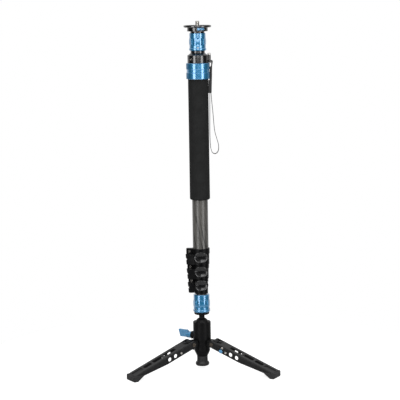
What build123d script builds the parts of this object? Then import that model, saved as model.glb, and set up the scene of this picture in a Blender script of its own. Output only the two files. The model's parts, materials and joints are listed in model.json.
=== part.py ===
from build123d import *
from math import atan2, cos, degrees, hypot, radians, sin, tan
import os

# A four section camera monopod, closed up and standing on its three fold-out legs.
# Millimetres, Z up, the floor at z = 0. Pieces are drawn with the pole on the Z axis and the
# photographed side towards -Y, then all move together so that the origin is the middle of the footprint.

# Fits that several pieces share
running_gap = 0.08  # a piece that turns or slides in another
screw_gap = 0.05  # a screw or pin in its hole
passing_gap = 0.3  # pieces that only pass each other
overrun = 2.0  # how far a cutter runs past what it cuts
edge_break = 0.4
socket_share = 0.8  # of the screw's radius

# Tubes
section_count = 4
tube_1_radius = 18.0
radius_drop = 2.0
tube_wall = 1.3
slide_travel = 365.0
guide_bush_height = 45.0
stop_gap = 0.5
nest_gap = 37.6  # over the second tube when closed

# Centre foot and hub
foot_height = 23.0
foot_neck_radius = 12.4
foot_flare_radius = 16.2
foot_flare_height = 6.5
foot_neck_height = 12.5
foot_edge_radius = 4.0
foot_bolt_radius = 4.0
foot_bolt_head_radius = 8.0
foot_bolt_head_height = 4.0
foot_bolt_recess = 3.0
foot_bolt_length = 36.0
hub_cone_height = 12.0
hub_lower_radius = 18.0
hub_lower_height = 27.0
hub_radius = 20.5
hub_height = 42.3
hub_mouth_depth = 1.2
hub_mouth_rim = 1.0

# Ball joint
ball_radius = 16.0
ball_sink = 6.0
ball_flat_share = 0.82  # of the ball's radius, where the ball's top meets the neck's foot
neck_radius = 6.5
neck_foot_radius = 9.2
neck_length = 17.3
stem_ring_radius = 17.3
stem_ring_height = 5.8
spigot_length = 26.0
cup_radius = 13.0
cup_height = 6.0

# Lock knob, between two of the legs
knob_polar = 150.0
knob_below_rim = 34.8
knob_boss_radius = 9.0
knob_boss_reach = 27.0
knob_radius = 7.7
knob_reach = 38.5
knob_bore_depth = 6.0
knob_wing_reach = 61.2
knob_wing_rise = 11.5
knob_wing_drop = 6.0
knob_wing_slant = 4.0
knob_wing_thickness = 5.2
knob_shaft_radius = 4.0
knob_shaft_start = 3.0
knob_shaft_point = 4.0

# Legs
leg_polars = (-30.0, 90.0, 210.0)
hinge_reach = 33.0
hinge_rise = 20.5  # above the top of the hub's cone
leg_slope = 20.9
leg_width = 34.0
leg_wall = 4.0
leg_web = 3.0
leg_depth = 16.8
leg_length = 165.5
leg_kink = 79.3
leg_tip_depth = 8.3
leg_tip_rise = 5.26  # the middle line's end above the floor
leg_edge_radius = 2.0
web_start = 12.5
web_bump_radius = 4.0
web_bump_width = 9.0
web_bump_rise = 2.5
leg_end_block = 26.0
leg_slots = ((40.7, 32.0), (77.7, 26.0), (108.7, 21.0))  # start along the leg, length
leg_slot_width = 13.5
leg_slot_corner = 3.5
leg_recess_start = 134.2
leg_recess_length = 27.5
leg_recess_depth = 1.4
side_hole_radius = 5.25
side_hole_places = (52.2, 68.7)
side_hole_drop = 0.6
lug_nose_radius = 8.2
lug_height = 14.0
lug_inner_reach = 12.0
lug_half_width = 7.7
hinge_boss_radius = 6.0
leg_pin_radius = 3.0
leg_pin_head_radius = 4.4
leg_pin_head = 1.2
# Along the leg, above its middle line, and the wall: -1 for the button's, 1 for the other
catch_screw_places = ((28.0, 5.2, -1), (40.0, -1.4, -1), (37.0, -1.4, 1))
catch_screw_radius = 1.4
catch_screw_head_radius = 2.5
catch_screw_head = 0.8

# Leg buttons and their springs
button_place = 28.0
button_drop = 3.2
button_radius = 4.5
button_proud = 2.6
button_travel = 2.0
button_stem_radius = 3.0
button_flange_radius = 4.4
button_flange = 1.2
button_spring_radius = 2.6
button_spring_wire = 0.45
button_spring_turns = 8
button_seat_radius = 1.6
button_seat_height = 2.0

# Leg feet: outline in the leg's upright plane, past the leg's tip and up from the floor
foot_pad_width = 37.0
foot_pad_corner = 4.0
foot_toe_past = 5.8
foot_heel_inset = 15.0
foot_sole_inset = 4.6
foot_heel_height = 7.5
foot_toe_height = 2.0
foot_toe_mid_height = 9.0
foot_toe_round = 2.0
foot_end_wall = 2.6
foot_edge_round = 1.5

# Lower blue collar and the top one, which are made alike
collar_wall_radius = 18.4
collar_bulge_radius = 19.2
collar_flange_radius = 19.6
collar_flange_height = 5.5
collar_lip_height = 7.0
collar_bulge_height = 16.0
collar_flutes = 10
collar_flute_radius = 5.4
collar_flute_depth = 0.9
lower_collar_height = 41.2
lower_collar_floor = 4.0
collar_screw_polars = (-137.0, -17.0, 103.0)
collar_screw_radius = 2.0
collar_screw_socket = 1.1
collar_screw_sink = 0.3

# Locks, from the top one down
lock_band_wall = 2.5
lock_ring_step = 1.0
lock_bush_wall = 1.2
lock_band_heights = (12.0, 8.6, 7.1)
lock_skirts = (0.8, 0.8, 4.0)
lever_height = 23.5
lever_gap = 0.4
lock_gap = 0.4
parked_gap = 2.5
ear_reach = 13.0
ear_depth = 11.0
ear_slit = 1.2
band_screw_place = 6.2
band_screw_radius = 1.9
band_screw_head_radius = 3.1
band_screw_head = 2.0
pivot_reach = 8.5
pivot_drop = 9.0
pivot_radius = 6.5
pivot_pin_radius = 2.0
front_ear = 3.6
back_ear = 5.6
tension_bolt_radius = 2.0
tension_eye_radius = 3.9
tension_eye_height = 4.2
tension_nut_radius = 3.5
tension_nut_height = 3.0
lever_thickness = 4.0
lever_start_polar = 203.0
lever_outer_polar = 228.0
lever_rise = 5.0
thumb_centre = -1.0
thumb_half_width = 17.7
thumb_half_height = 12.6
dish_rim = 1.7
dish_depth = 2.2

# Grip, shoulder and strap
grip_top_radius = 23.1
grip_bottom_radius = 23.1
grip_height = 276.2
grip_edge_radius = 3.5
grip_collar_radius = 26.7
grip_collar_height = 35.7
grip_band_height = 14.3
grip_groove_depth = 0.8
cap_radius = 23.6
shoulder_height = 18.0
shoulder_slope = 4.5
shoulder_neck_radius = 16.2
shoulder_neck_height = 5.1
shoulder_floor = 7.0
shoulder_screw_polar = -132.0
shoulder_screw_radius = 2.0
shoulder_screw_head_radius = 3.0
shoulder_screw_head = 1.0
shoulder_screw_depth = 4.0
lug_reach = 25.6
lug_radius = 3.9
lug_slot_height = 4.2
lug_slot_drop = 11.6
strap_pin_radius = 1.5
strap_pin_head_radius = 3.4
strap_pin_head = 4.4
strap_pin_foot = 1.6
tab_width = 9.0
tab_thickness = 5.2
tab_middle = 28.6
tab_length = 68.5
tab_neck_thickness = 2.6
tab_shoulder = 1.6
tab_shoulder_height = 8.0
strap_width = 8.0
strap_thickness = 1.2

# Top collar, wheel housing, plate and stud
top_collar_height = 39.9
top_collar_screw_polar = -90.0
coupling_radius = 4.0
housing_neck_radius = 16.0
housing_neck_height = 4.0
housing_radius = 23.5
housing_wall = 1.3
housing_floor = 1.8
housing_height = 8.4
window_start = -94.0
window_turn = 46.0
window_count = 3
wheel_gap = 0.4
wheel_side_gap = 0.3
wheel_teeth = 60
wheel_tooth_radius = 0.5
plate_radius = 31.25
plate_thickness = 4.9
plate_bevel = 1.6
pad_radius = 28.5
pad_hole_radius = 8.0
pad_thickness = 1.0
stud_radius = 4.7625
stud_proud = 10.0
stud_bevel = 0.8
stud_neck_radius = 4.2

# Levels, stacked from the floor up
hinge_height = leg_tip_rise + leg_length * sin(radians(leg_slope))
leg_tip_reach = hinge_reach + leg_length * cos(radians(leg_slope))
foot_lift = hinge_height - hinge_rise - hub_cone_height - foot_height
foot_top = foot_lift + foot_height
cone_top = foot_top + hub_cone_height
hub_bottom = cone_top + hub_lower_height
hub_top = hub_bottom + hub_height
ball_level = hub_top - ball_sink
stem_ring_bottom = hub_top + neck_length
lower_collar_bottom = stem_ring_bottom + stem_ring_height
lower_collar_top = lower_collar_bottom + lower_collar_height
knob_level = hub_top - knob_below_rim

lock_bottoms = {}
lever_bottoms = {}
band_bottoms = {}
lock_tops = {}
level = lower_collar_top + parked_gap
for lock in (3, 2, 1):
    lock_bottoms[lock] = level
    lever_bottoms[lock] = level + lock_skirts[lock - 1]
    band_bottoms[lock] = lever_bottoms[lock] + lever_height + lever_gap
    lock_tops[lock] = band_bottoms[lock] + lock_band_heights[lock - 1]
    level = lock_tops[lock] + lock_gap

tube_1_top = band_bottoms[1] + stop_gap + slide_travel + guide_bush_height + nest_gap
grip_collar_top = tube_1_top - shoulder_height + shoulder_floor
grip_top = grip_collar_top - grip_collar_height
grip_base = grip_top - grip_height
tab_bottom = grip_collar_top - tab_length
shoulder_top = grip_collar_top + shoulder_height
top_collar_bottom = shoulder_top + shoulder_slope + shoulder_neck_height
top_collar_top = top_collar_bottom + top_collar_height
housing_bottom = top_collar_top + housing_neck_height
plate_bottom = housing_bottom + housing_height
plate_top = plate_bottom + plate_thickness


def tube_radius(section):
    return tube_1_radius - radius_drop * (section - 1)


def polar(reach, angle, height=0):
    return (reach * cos(radians(angle)), reach * sin(radians(angle)), height)


def turned(outline):
    """A piece turned about the pole, from points given as distance out and height."""
    return revolve(Plane.XZ * make_face(Polyline(*outline, close=True)), axis=Axis.Z)


def tube(outer, inner, bottom, top):
    return turned([(inner, bottom), (outer, bottom), (outer, top), (inner, top)])


def rod(start, end, radius):
    start, end = Vector(*start), Vector(*end)
    return extrude(Plane(origin=start, z_dir=end - start) * Circle(radius), amount=(end - start).length)


def slab(outline, width, centre=0):
    """A plate cut to an outline in the XZ plane."""
    face = make_face(Polyline(*outline, close=True))
    return Pos(0, centre, 0) * extrude(Plane.XZ * face, amount=width / 2, both=True)


def upright(outline, bottom, top):
    """A prism that stands on an outline seen from above."""
    return Pos(0, 0, bottom) * extrude(make_face(Polyline(*outline, close=True)), amount=top - bottom)


def block(x, y, z):
    """A box from pairs of limits."""
    size = [high - low for low, high in (x, y, z)]
    middle = [(high + low) / 2 for low, high in (x, y, z)]
    return Pos(*middle) * Box(*size)


def rims(piece, height, radius):
    """The round edges of a turned piece at a height."""
    near = edge_break / 4
    rounds = piece.edges().filter_by(GeomType.CIRCLE)
    return rounds.filter_by(lambda e: abs(e.center().Z - height) < near and abs(e.radius - radius) < near)


def hex_socket(plane, radius, depth):
    return extrude(plane * RegularPolygon(radius, 6), amount=depth)


def centre_foot():
    flare_level = foot_lift + foot_flare_height
    body = turned(
        [
            (0, foot_lift),
            (foot_flare_radius - foot_edge_radius / 2, foot_lift),
            (foot_flare_radius, flare_level),
            (foot_neck_radius, foot_top - foot_neck_height),
            (foot_neck_radius, foot_top),
            (0, foot_top),
        ]
    )
    body = fillet(rims(body, foot_lift, foot_flare_radius - foot_edge_radius / 2), foot_edge_radius)
    body = fillet(rims(body, flare_level, foot_flare_radius), foot_edge_radius / 2)
    head_level = foot_lift + foot_bolt_recess + foot_bolt_head_height
    body -= Pos(0, 0, foot_top) * Cylinder(foot_bolt_radius + screw_gap, 2 * foot_height)
    head = tube(foot_bolt_head_radius + screw_gap, 0, foot_lift - overrun, head_level)
    return body - head


def foot_bolt():
    bottom = foot_lift + foot_bolt_recess
    head_top = bottom + foot_bolt_head_height
    bolt = tube(foot_bolt_head_radius, 0, bottom, head_top)
    bolt += tube(foot_bolt_radius, 0, head_top, head_top + foot_bolt_length)
    return bolt - hex_socket(Plane.XY.offset(bottom), foot_bolt_radius, foot_bolt_head_height / 2)


def cup_level():
    """The height at which the pressure cup's top rim meets the ball."""
    return ball_level - (ball_radius**2 - cup_radius**2) ** 0.5


def hub_body():
    """The hub's turned body with the ball's socket, three hinge lugs and the knob's boss."""
    cup_bottom = cup_level() - cup_height
    well_radius = cup_radius + running_gap
    seat_radius = ball_radius + running_gap
    mouth = (hub_radius - hub_mouth_rim, hub_top)
    lip_level = hub_top - hub_mouth_depth
    lip_radius = (seat_radius**2 - (lip_level - ball_level) ** 2) ** 0.5
    body = turned(
        [
            (0, foot_top),
            (foot_neck_radius, foot_top),
            (hub_lower_radius, cone_top),
            (hub_lower_radius, hub_bottom),
            (hub_radius, hub_bottom),
            (hub_radius, hub_top),
            mouth,
            (lip_radius, lip_level),
            (0, lip_level),
        ]
    )
    body = fillet(rims(body, cone_top, hub_lower_radius), foot_edge_radius)
    body = chamfer(rims(body, hub_bottom, hub_radius), edge_break)
    for angle in leg_polars:
        bar = block(
            (lug_inner_reach, hinge_reach),
            (-lug_half_width, lug_half_width),
            (hinge_height - lug_height / 2, hinge_height + lug_height / 2),
        )
        half = lug_half_width
        nose = rod((hinge_reach, half, hinge_height), (hinge_reach, -half, hinge_height), lug_nose_radius)
        bore_end = half + overrun
        bore = rod(
            (hinge_reach, bore_end, hinge_height),
            (hinge_reach, -bore_end, hinge_height),
            leg_pin_radius + screw_gap,
        )
        body += Rot(0, 0, angle) * (bar + nose - bore)
    boss_end = polar(knob_boss_reach, knob_polar, knob_level)
    body += rod(polar(lug_inner_reach, knob_polar, knob_level), boss_end, knob_boss_radius)
    body -= Pos(0, 0, ball_level) * Sphere(seat_radius)
    body -= tube(well_radius, 0, cup_bottom - running_gap, ball_level - cup_height)
    body -= rod(
        (0, 0, knob_level),
        polar(knob_boss_reach + overrun, knob_polar, knob_level),
        knob_shaft_radius + running_gap,
    )
    hole_top = foot_lift + foot_bolt_recess + foot_bolt_head_height + foot_bolt_length + screw_gap
    body -= tube(foot_bolt_radius + screw_gap, 0, foot_top - overrun, hole_top)
    return body


def ball_cup():
    """The pressure cup under the ball, which the knob's shaft pushes up."""
    cup = tube(cup_radius, 0, cup_level() - cup_height, cup_level())
    return cup - Pos(0, 0, ball_level) * Sphere(ball_radius + running_gap)


def ball_stem():
    ball = Pos(0, 0, ball_level) * Sphere(ball_radius)
    flat = ball_level + ball_radius * ball_flat_share
    ball -= block(
        (-ball_radius, ball_radius), (-ball_radius, ball_radius), (flat, ball_level + ball_radius + overrun)
    )
    neck = turned(
        [
            (0, flat),
            (neck_foot_radius, flat),
            (neck_radius, flat + neck_foot_radius - neck_radius),
            (neck_radius, stem_ring_bottom),
            (stem_ring_radius - edge_break, stem_ring_bottom),
            (stem_ring_radius, stem_ring_bottom + edge_break),
            (stem_ring_radius, lower_collar_bottom),
            (tube_radius(section_count) - tube_wall - running_gap, lower_collar_bottom),
            (tube_radius(section_count) - tube_wall - running_gap, lower_collar_bottom + spigot_length),
            (0, lower_collar_bottom + spigot_length),
        ]
    )
    return ball + neck


def knob_shaft():
    start, end = knob_shaft_start, knob_boss_reach + knob_bore_depth
    shoulder = polar(start + knob_shaft_point, knob_polar, knob_level)
    shaft = rod(shoulder, polar(end, knob_polar, knob_level), knob_shaft_radius)
    point = Plane(origin=polar(start, knob_polar, knob_level), z_dir=Vector(*polar(1, knob_polar)))
    cone = Cone(knob_shaft_radius / 2, knob_shaft_radius, knob_shaft_point)
    return shaft + point * (Pos(0, 0, knob_shaft_point / 2) * cone)


def lock_knob():
    """A wing knob drawn along +X, then turned to its side of the hub."""
    start = knob_boss_reach + passing_gap
    body = rod((start, 0, 0), (knob_reach, 0, 0), knob_radius)
    body = chamfer(body.edges().filter_by(GeomType.CIRCLE), edge_break)
    root = knob_reach - knob_radius / 2
    wing = slab(
        [
            (root, -knob_wing_drop),
            (knob_wing_reach - knob_wing_slant, -knob_wing_drop),
            (knob_wing_reach, knob_wing_rise),
            (knob_wing_reach - 2 * knob_wing_rise, knob_wing_rise - edge_break),
            (root, knob_radius - edge_break),
        ],
        knob_wing_thickness,
    )
    wing = fillet(wing.edges().filter_by(Axis.Y).group_by(Axis.X)[-1], 2 * edge_break)
    wing = fillet(wing.faces().filter_by(Axis.Y).edges(), 2 * edge_break)
    knob = body + wing
    knob -= rod((0, 0, 0), (knob_boss_reach + knob_bore_depth, 0, 0), knob_shaft_radius)
    return Pos(0, 0, knob_level) * (Rot(0, 0, knob_polar) * knob)


def on_leg(along, above):
    """A point of the leg's upright plane, from its place along the leg and above its middle line."""
    slope = radians(leg_slope)
    return (
        hinge_reach + along * cos(slope) + above * sin(slope),
        hinge_height - along * sin(slope) + above * cos(slope),
    )


def leg_frame():
    """A plane at the hinge: X along the leg, Y across it, Z out of its top."""
    slope = radians(leg_slope)
    along, above = (cos(slope), 0, -sin(slope)), (sin(slope), 0, cos(slope))
    return Plane(origin=(hinge_reach, 0, hinge_height), x_dir=along, z_dir=above)


def leg_blank():
    """The leg's outer form without its hollow, along X from the hinge."""
    half = leg_depth / 2
    tip = half - leg_tip_depth
    body = slab([(0, -half), (leg_kink, -half), (leg_length, tip), (leg_length, half), (0, half)], leg_width)
    eye = rod((0, leg_width / 2, 0), (0, -leg_width / 2, 0), half)
    return body + eye


def leg_arm():
    half = leg_depth / 2
    inner = leg_width / 2 - leg_wall
    arm = leg_blank()
    top_edges = arm.edges().filter_by(Axis.X).filter_by(lambda e: abs(e.center().Z - half) < edge_break)
    arm = fillet(top_edges, leg_edge_radius)
    arm -= block((-leg_depth, leg_length - leg_end_block), (-inner, inner), (-leg_depth, half - leg_web))
    arm -= block((-leg_depth, web_start), (-inner, inner), (-leg_depth, leg_depth))
    bump_level = half + web_bump_rise - web_bump_radius
    bump_end = web_bump_width / 2
    bump = rod((web_start, bump_end, bump_level), (web_start, -bump_end, bump_level), web_bump_radius)
    arm += bump - block((0, leg_depth), (-inner, inner), (-leg_depth, half - leg_web))
    for side in (-1, 1):
        arm += rod((0, side * inner, 0), (0, side * (lug_half_width + passing_gap), 0), hinge_boss_radius)
    for start, length in leg_slots:
        slot = Plane.XY.offset(half - leg_web - overrun) * (
            Pos(start + length / 2, 0) * RectangleRounded(length, leg_slot_width, leg_slot_corner)
        )
        arm -= extrude(slot, amount=leg_web + 2 * overrun)
    recess = Plane.XY.offset(half - leg_recess_depth) * (
        Pos(leg_recess_start + leg_recess_length / 2, 0)
        * RectangleRounded(leg_recess_length, leg_slot_width, leg_slot_corner)
    )
    arm -= extrude(recess, amount=leg_web)
    reach = leg_width / 2 + overrun
    for place in side_hole_places:
        arm -= rod((place, -reach, -side_hole_drop), (place, reach, -side_hole_drop), side_hole_radius)
    arm -= rod((0, -reach, 0), (0, reach, 0), leg_pin_radius + running_gap)
    button_start, button_end = (button_place, -reach, -button_drop), (button_place, 0, -button_drop)
    arm -= rod(button_start, button_end, button_stem_radius + running_gap)
    seat = rod(
        (button_place, inner - button_seat_height, -button_drop),
        (button_place, inner, -button_drop),
        button_seat_radius,
    )
    arm += seat
    for place, above, side in catch_screw_places:
        bore_end = side * (inner + screw_gap)
        arm -= rod((place, side * reach, above), (place, bore_end, above), catch_screw_radius)
    return leg_frame() * arm


def leg_foot():
    """The rubber foot: a rounded sole under the leg's tip and a wall round its end."""
    toe = leg_tip_reach + foot_toe_past
    sole_start = leg_tip_reach - foot_sole_inset
    body = slab(
        [
            on_leg(leg_length - leg_end_block, leg_depth / 2 - leg_tip_depth),
            (leg_tip_reach - foot_heel_inset, foot_heel_height),
            (sole_start, 0),
            (toe - foot_toe_round, 0),
            (toe, foot_toe_height),
            (toe, foot_toe_mid_height),
            on_leg(leg_length + foot_end_wall, leg_depth / 2),
            on_leg(leg_length, leg_depth / 2),
        ],
        foot_pad_width,
    )
    past_tip = body.edges().filter_by(Axis.Y).filter_by(lambda e: e.center().X > leg_tip_reach + edge_break)
    body = fillet(past_tip, foot_edge_round)
    plan = Pos(toe / 2, 0) * RectangleRounded(toe, foot_pad_width, foot_pad_corner)
    body &= extrude(plan, amount=hinge_height)
    return body - leg_frame() * leg_blank()


def leg_button():
    """The blue push button in the leg's side wall, with its stem and flange inside."""
    outer = leg_width / 2
    inner = outer - leg_wall
    level = -button_drop
    cap = rod(
        (button_place, -outer - button_proud, level),
        (button_place, -outer - button_travel - passing_gap, level),
        button_radius,
    )
    cap = chamfer(cap.edges().filter_by(GeomType.CIRCLE).group_by(Axis.Y)[0], edge_break / 2)
    face = (button_place, -outer - button_proud, level)
    stem = rod(face, (button_place, -inner, level), button_stem_radius)
    flange = rod(
        (button_place, running_gap - inner, level),
        (button_place, running_gap + button_flange - inner, level),
        button_flange_radius,
    )
    link = rod(
        (button_place, -inner, level), (button_place, running_gap - inner, level), button_stem_radius
    )
    return leg_frame() * (cap + stem + link + flange)


def leg_spring():
    """The button's return spring, from its flange to the far wall."""
    inner = leg_width / 2 - leg_wall
    start = running_gap + button_flange - inner + button_spring_wire
    length = inner - button_spring_wire - start
    pitch = length / button_spring_turns
    radius = button_spring_radius
    path = Helix(pitch=pitch, height=length, radius=radius)
    section = Plane(origin=path @ 0, z_dir=path % 0) * Circle(button_spring_wire)
    print(f"button spring: pitch {pitch:.2f}, gap between turns {pitch - 2 * button_spring_wire:.2f}")
    coil = sweep(section, path=path)
    place = Plane(origin=(button_place, start, -button_drop), x_dir=(1, 0, 0), z_dir=(0, 1, 0))
    return leg_frame() * (place * coil)


def catch_screws():
    outer = leg_width / 2
    inner = outer - leg_wall
    screws = []
    for place, above, side in catch_screw_places:
        face, crown = side * outer, side * (outer + catch_screw_head)
        shank_end = side * (inner + screw_gap + edge_break)
        screw = rod((place, face, above), (place, shank_end, above), catch_screw_radius - screw_gap)
        head = rod((place, crown, above), (place, face, above), catch_screw_head_radius)
        socket = Plane(origin=(place, crown, above), z_dir=(0, -side, 0))
        screw += head - hex_socket(socket, catch_screw_radius, catch_screw_head / 2)
        screws.append(leg_frame() * screw)
    return screws


def leg_pin():
    """The hinge pin through a lug and a leg's two walls, with a head at each end."""
    end = leg_width / 2 + running_gap
    pin = rod((hinge_reach, end, hinge_height), (hinge_reach, -end, hinge_height), leg_pin_radius)
    for side in (-1, 1):
        head_end = (hinge_reach, side * (end + leg_pin_head), hinge_height)
        pin += rod((hinge_reach, side * end, hinge_height), head_end, leg_pin_head_radius)
        socket = Plane(origin=head_end, z_dir=(0, -side, 0))
        pin -= hex_socket(socket, leg_pin_radius / 2, leg_pin_head)
    return pin


def blue_collar(bottom, height, bore):
    """A fluted collar with a flange near its lower end."""
    flange_top = bottom + collar_flange_height
    bulge_bottom = flange_top + collar_lip_height
    bulge_top = bulge_bottom + collar_bulge_height
    body = turned(
        [
            (bore, bottom),
            (collar_wall_radius, bottom),
            (collar_flange_radius, bottom + collar_flange_height / 3),
            (collar_flange_radius, flange_top - edge_break),
            (collar_wall_radius, flange_top + edge_break),
            (collar_wall_radius, bulge_bottom),
            (collar_bulge_radius, bulge_bottom + edge_break),
            (collar_bulge_radius, bulge_top - edge_break),
            (collar_wall_radius, bulge_top),
            (collar_wall_radius, bottom + height - edge_break),
            (collar_wall_radius - edge_break, bottom + height),
            (bore, bottom + height),
        ]
    )
    flute_reach = collar_bulge_radius + collar_flute_radius - collar_flute_depth
    for step in range(collar_flutes):
        angle = 360 * (step + 0.5) / collar_flutes
        flute = rod(
            polar(flute_reach, angle, bulge_bottom), polar(flute_reach, angle, bulge_top), collar_flute_radius
        )
        body -= flute
    return body


def collar_screw(angle, level, inner_reach):
    outer = collar_flange_radius - collar_screw_sink
    screw = rod(polar(inner_reach, angle, level), polar(outer, angle, level), collar_screw_radius)
    socket = Plane(origin=polar(outer, angle, level), z_dir=-Vector(*polar(1, angle)))
    return screw - hex_socket(socket, collar_screw_socket, collar_screw_radius)


def collar_screw_hole(angle, level, inner_reach):
    outer = collar_flange_radius + overrun
    return rod(polar(inner_reach, angle, level), polar(outer, angle, level), collar_screw_radius + screw_gap)


def lower_collar():
    bore = tube_radius(section_count)
    bottom = lower_collar_bottom + running_gap
    collar = blue_collar(bottom, lower_collar_height - running_gap, bore - tube_wall)
    floor = lower_collar_bottom + lower_collar_floor
    collar -= tube(bore, 0, floor, lower_collar_top + overrun)
    level = lower_collar_bottom + collar_flange_height + collar_screw_radius
    for angle in collar_screw_polars:
        collar -= collar_screw_hole(angle, level, bore)
    return collar


def lower_collar_screws():
    bore = tube_radius(section_count)
    level = lower_collar_bottom + collar_flange_height + collar_screw_radius
    return [collar_screw(angle, level, bore + screw_gap) for angle in collar_screw_polars]


def section_tube(section):
    """One tube, from the shelf of its own clamp up to where its guide bush meets the next lock."""
    radius = tube_radius(section)
    if section == 1:
        return tube(radius, radius - tube_wall, band_bottoms[1], tube_1_top)
    bottom = lower_collar_bottom + lower_collar_floor
    if section < section_count:
        bottom = band_bottoms[section]
    return tube(radius, radius - tube_wall, bottom, section_top(section))


def section_top(section):
    return band_bottoms[section - 1] + stop_gap + slide_travel + guide_bush_height


def guide_bush(section):
    radius = tube_radius(section)
    bore = tube_radius(section - 1) - tube_wall
    top = section_top(section)
    return tube(bore - running_gap, radius, top - guide_bush_height, top)


def lock_sizes(lock):
    """The radii of a lock: its upper band, its lower ring, the bush's outside, and its pivot's place."""
    band = tube_radius(lock) + lock_band_wall
    ring = band - lock_ring_step
    bush = tube_radius(lock + 1) + running_gap + lock_bush_wall
    return band, ring, bush, (-band - pivot_reach, -pivot_drop)


def lock_clamp(lock):
    band, ring, bush, pivot = lock_sizes(lock)
    bottom, shelf, top = lock_bottoms[lock], band_bottoms[lock], lock_tops[lock]
    lever_top = lever_bottoms[lock] + lever_height
    body = tube(ring, 0, bottom, shelf) + tube(band, 0, lever_top, top)
    body = chamfer(rims(body, top, band), edge_break)
    ear_end = -band - ear_reach
    ear = block((ear_end, 0), (-ear_depth / 2, ear_depth / 2), (lever_top, top))
    corners = ear.edges().filter_by(Axis.Y).group_by(Axis.X)[0].sort_by(Axis.Z)[-1]
    body += fillet(corners, 6 * edge_break)
    front = pivot[1] + pivot_radius + passing_gap
    back = front + front_ear + ear_slit + back_ear
    body += block((pivot[0] - tension_nut_radius, 0), (front, back), (lever_bottoms[lock], lever_top))
    body -= tube(bush, 0, bottom - overrun, shelf)
    body -= tube(tube_radius(lock), 0, shelf, top + overrun)
    slit_start = front + front_ear
    body -= block((ear_end - overrun, 0), (slit_start, slit_start + ear_slit), (bottom - overrun, shelf))
    body -= block((ear_end - overrun, 0), (-ear_slit / 2, ear_slit / 2), (shelf, top + overrun))
    screw_x, screw_z = -band - band_screw_place, (lever_top + top) / 2
    body -= rod((screw_x, -ear_depth, screw_z), (screw_x, ear_depth, screw_z), band_screw_radius + screw_gap)
    bolt_z = lever_bottoms[lock] + lever_height / 2
    bolt_end = (pivot[0], back + overrun, bolt_z)
    body -= rod((*pivot, bolt_z), bolt_end, tension_bolt_radius + screw_gap)
    return body


def lock_bush(lock):
    """The split plastic sleeve that the clamp squeezes on the tube inside it."""
    bush = lock_sizes(lock)[2]
    bottom, top = lock_bottoms[lock], band_bottoms[lock]
    sleeve = tube(bush, tube_radius(lock + 1) + running_gap, bottom, top)
    slit = block((-bush - overrun, 0), (-ear_slit / 2, ear_slit / 2), (bottom, top))
    return sleeve - slit


def lock_lever(lock):
    band, ring, bush, pivot = lock_sizes(lock)
    bottom = lever_bottoms[lock]
    top = bottom + lever_height
    middle = (bottom + top) / 2
    inner = band + lever_gap
    outer = inner + lever_thickness
    thumb_level = middle + lever_rise
    low, high = bottom, thumb_level + thumb_half_height
    outline = Pos(thumb_centre, thumb_level) * Ellipse(thumb_half_width, thumb_half_height)
    bar_length = thumb_centre - pivot[0] + pivot_radius
    outline += Pos(thumb_centre - bar_length / 2, middle) * Rectangle(bar_length, lever_height)
    start = polar(inner, lever_start_polar)[1]
    front = Pos(0, start, 0) * extrude(Plane.XZ * outline, amount=outer + overrun)
    shell = tube(outer, inner, low, high) & front
    pivot_block = Pos(pivot[0], pivot[1], middle) * Cylinder(pivot_radius, lever_height)
    bridge = upright(
        [
            (pivot[0], pivot[1] - pivot_radius),
            polar(outer, lever_outer_polar)[:2],
            polar(inner, lever_outer_polar)[:2],
            polar(inner, (lever_start_polar + lever_outer_polar) / 2)[:2],
            polar(inner, lever_start_polar)[:2],
            (pivot[0], pivot[1] + pivot_radius),
        ],
        bottom,
        top,
    )
    lever = shell + pivot_block + (bridge - tube(inner, 0, bottom, top))
    dish_plane = Plane.XZ.offset(outer + overrun)
    dish = dish_plane * (
        Pos(thumb_centre, thumb_level) * Ellipse(thumb_half_width - dish_rim, thumb_half_height - dish_rim)
    )
    lever -= extrude(dish, amount=-dish_depth - overrun)
    slot_half = tension_eye_height / 2 + passing_gap
    slot_side = tension_eye_radius + passing_gap
    lever -= block(
        (pivot[0] - 2 * pivot_radius, pivot[0] + slot_side),
        (pivot[1] - slot_side, pivot[1] + 2 * pivot_radius),
        (middle - slot_half, middle + slot_half),
    )
    lever -= Pos(pivot[0], pivot[1], middle) * Cylinder(pivot_pin_radius + screw_gap, 2 * lever_height)
    return lever


def lock_hardware(lock):
    """The lever's pin, the tension bolt on it, the band's screw, and both nuts."""
    band, ring, bush, pivot = lock_sizes(lock)
    bottom = lever_bottoms[lock]
    top = bottom + lever_height
    middle = (bottom + top) / 2
    pin = rod((*pivot, bottom), (*pivot, top), pivot_pin_radius)
    front = pivot[1] + pivot_radius + passing_gap
    back = front + front_ear + ear_slit + back_ear
    nut_end = back + tension_nut_height
    bolt = Pos(*pivot, middle) * Cylinder(tension_eye_radius, tension_eye_height)
    bolt += rod((*pivot, middle), (pivot[0], nut_end, middle), tension_bolt_radius)
    bolt -= Pos(*pivot, middle) * Cylinder(pivot_pin_radius + screw_gap, lever_height)
    nut = extrude(
        Plane(origin=(pivot[0], back, middle), z_dir=(0, 1, 0)) * RegularPolygon(tension_nut_radius, 6),
        amount=tension_nut_height,
    )
    nut -= rod((pivot[0], back, middle), (pivot[0], nut_end, middle), tension_bolt_radius + screw_gap)
    level = (top + lock_tops[lock]) / 2
    x = -band - band_screw_place
    face = ear_depth / 2
    screw = rod((x, -face, level), (x, face + band_screw_head, level), band_screw_radius)
    screw += rod((x, -face - band_screw_head, level), (x, -face, level), band_screw_head_radius)
    socket = Plane(origin=(x, -face - band_screw_head, level), z_dir=(0, 1, 0))
    screw -= hex_socket(socket, band_screw_radius * socket_share, band_screw_head)
    band_nut = extrude(
        Plane(origin=(x, face, level), z_dir=(0, 1, 0)) * RegularPolygon(band_screw_head_radius, 6),
        amount=band_screw_head,
    )
    band_nut -= rod((x, face, level), (x, face + band_screw_head, level), band_screw_radius + screw_gap)
    return [pin, bolt, nut, screw, band_nut]


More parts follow.
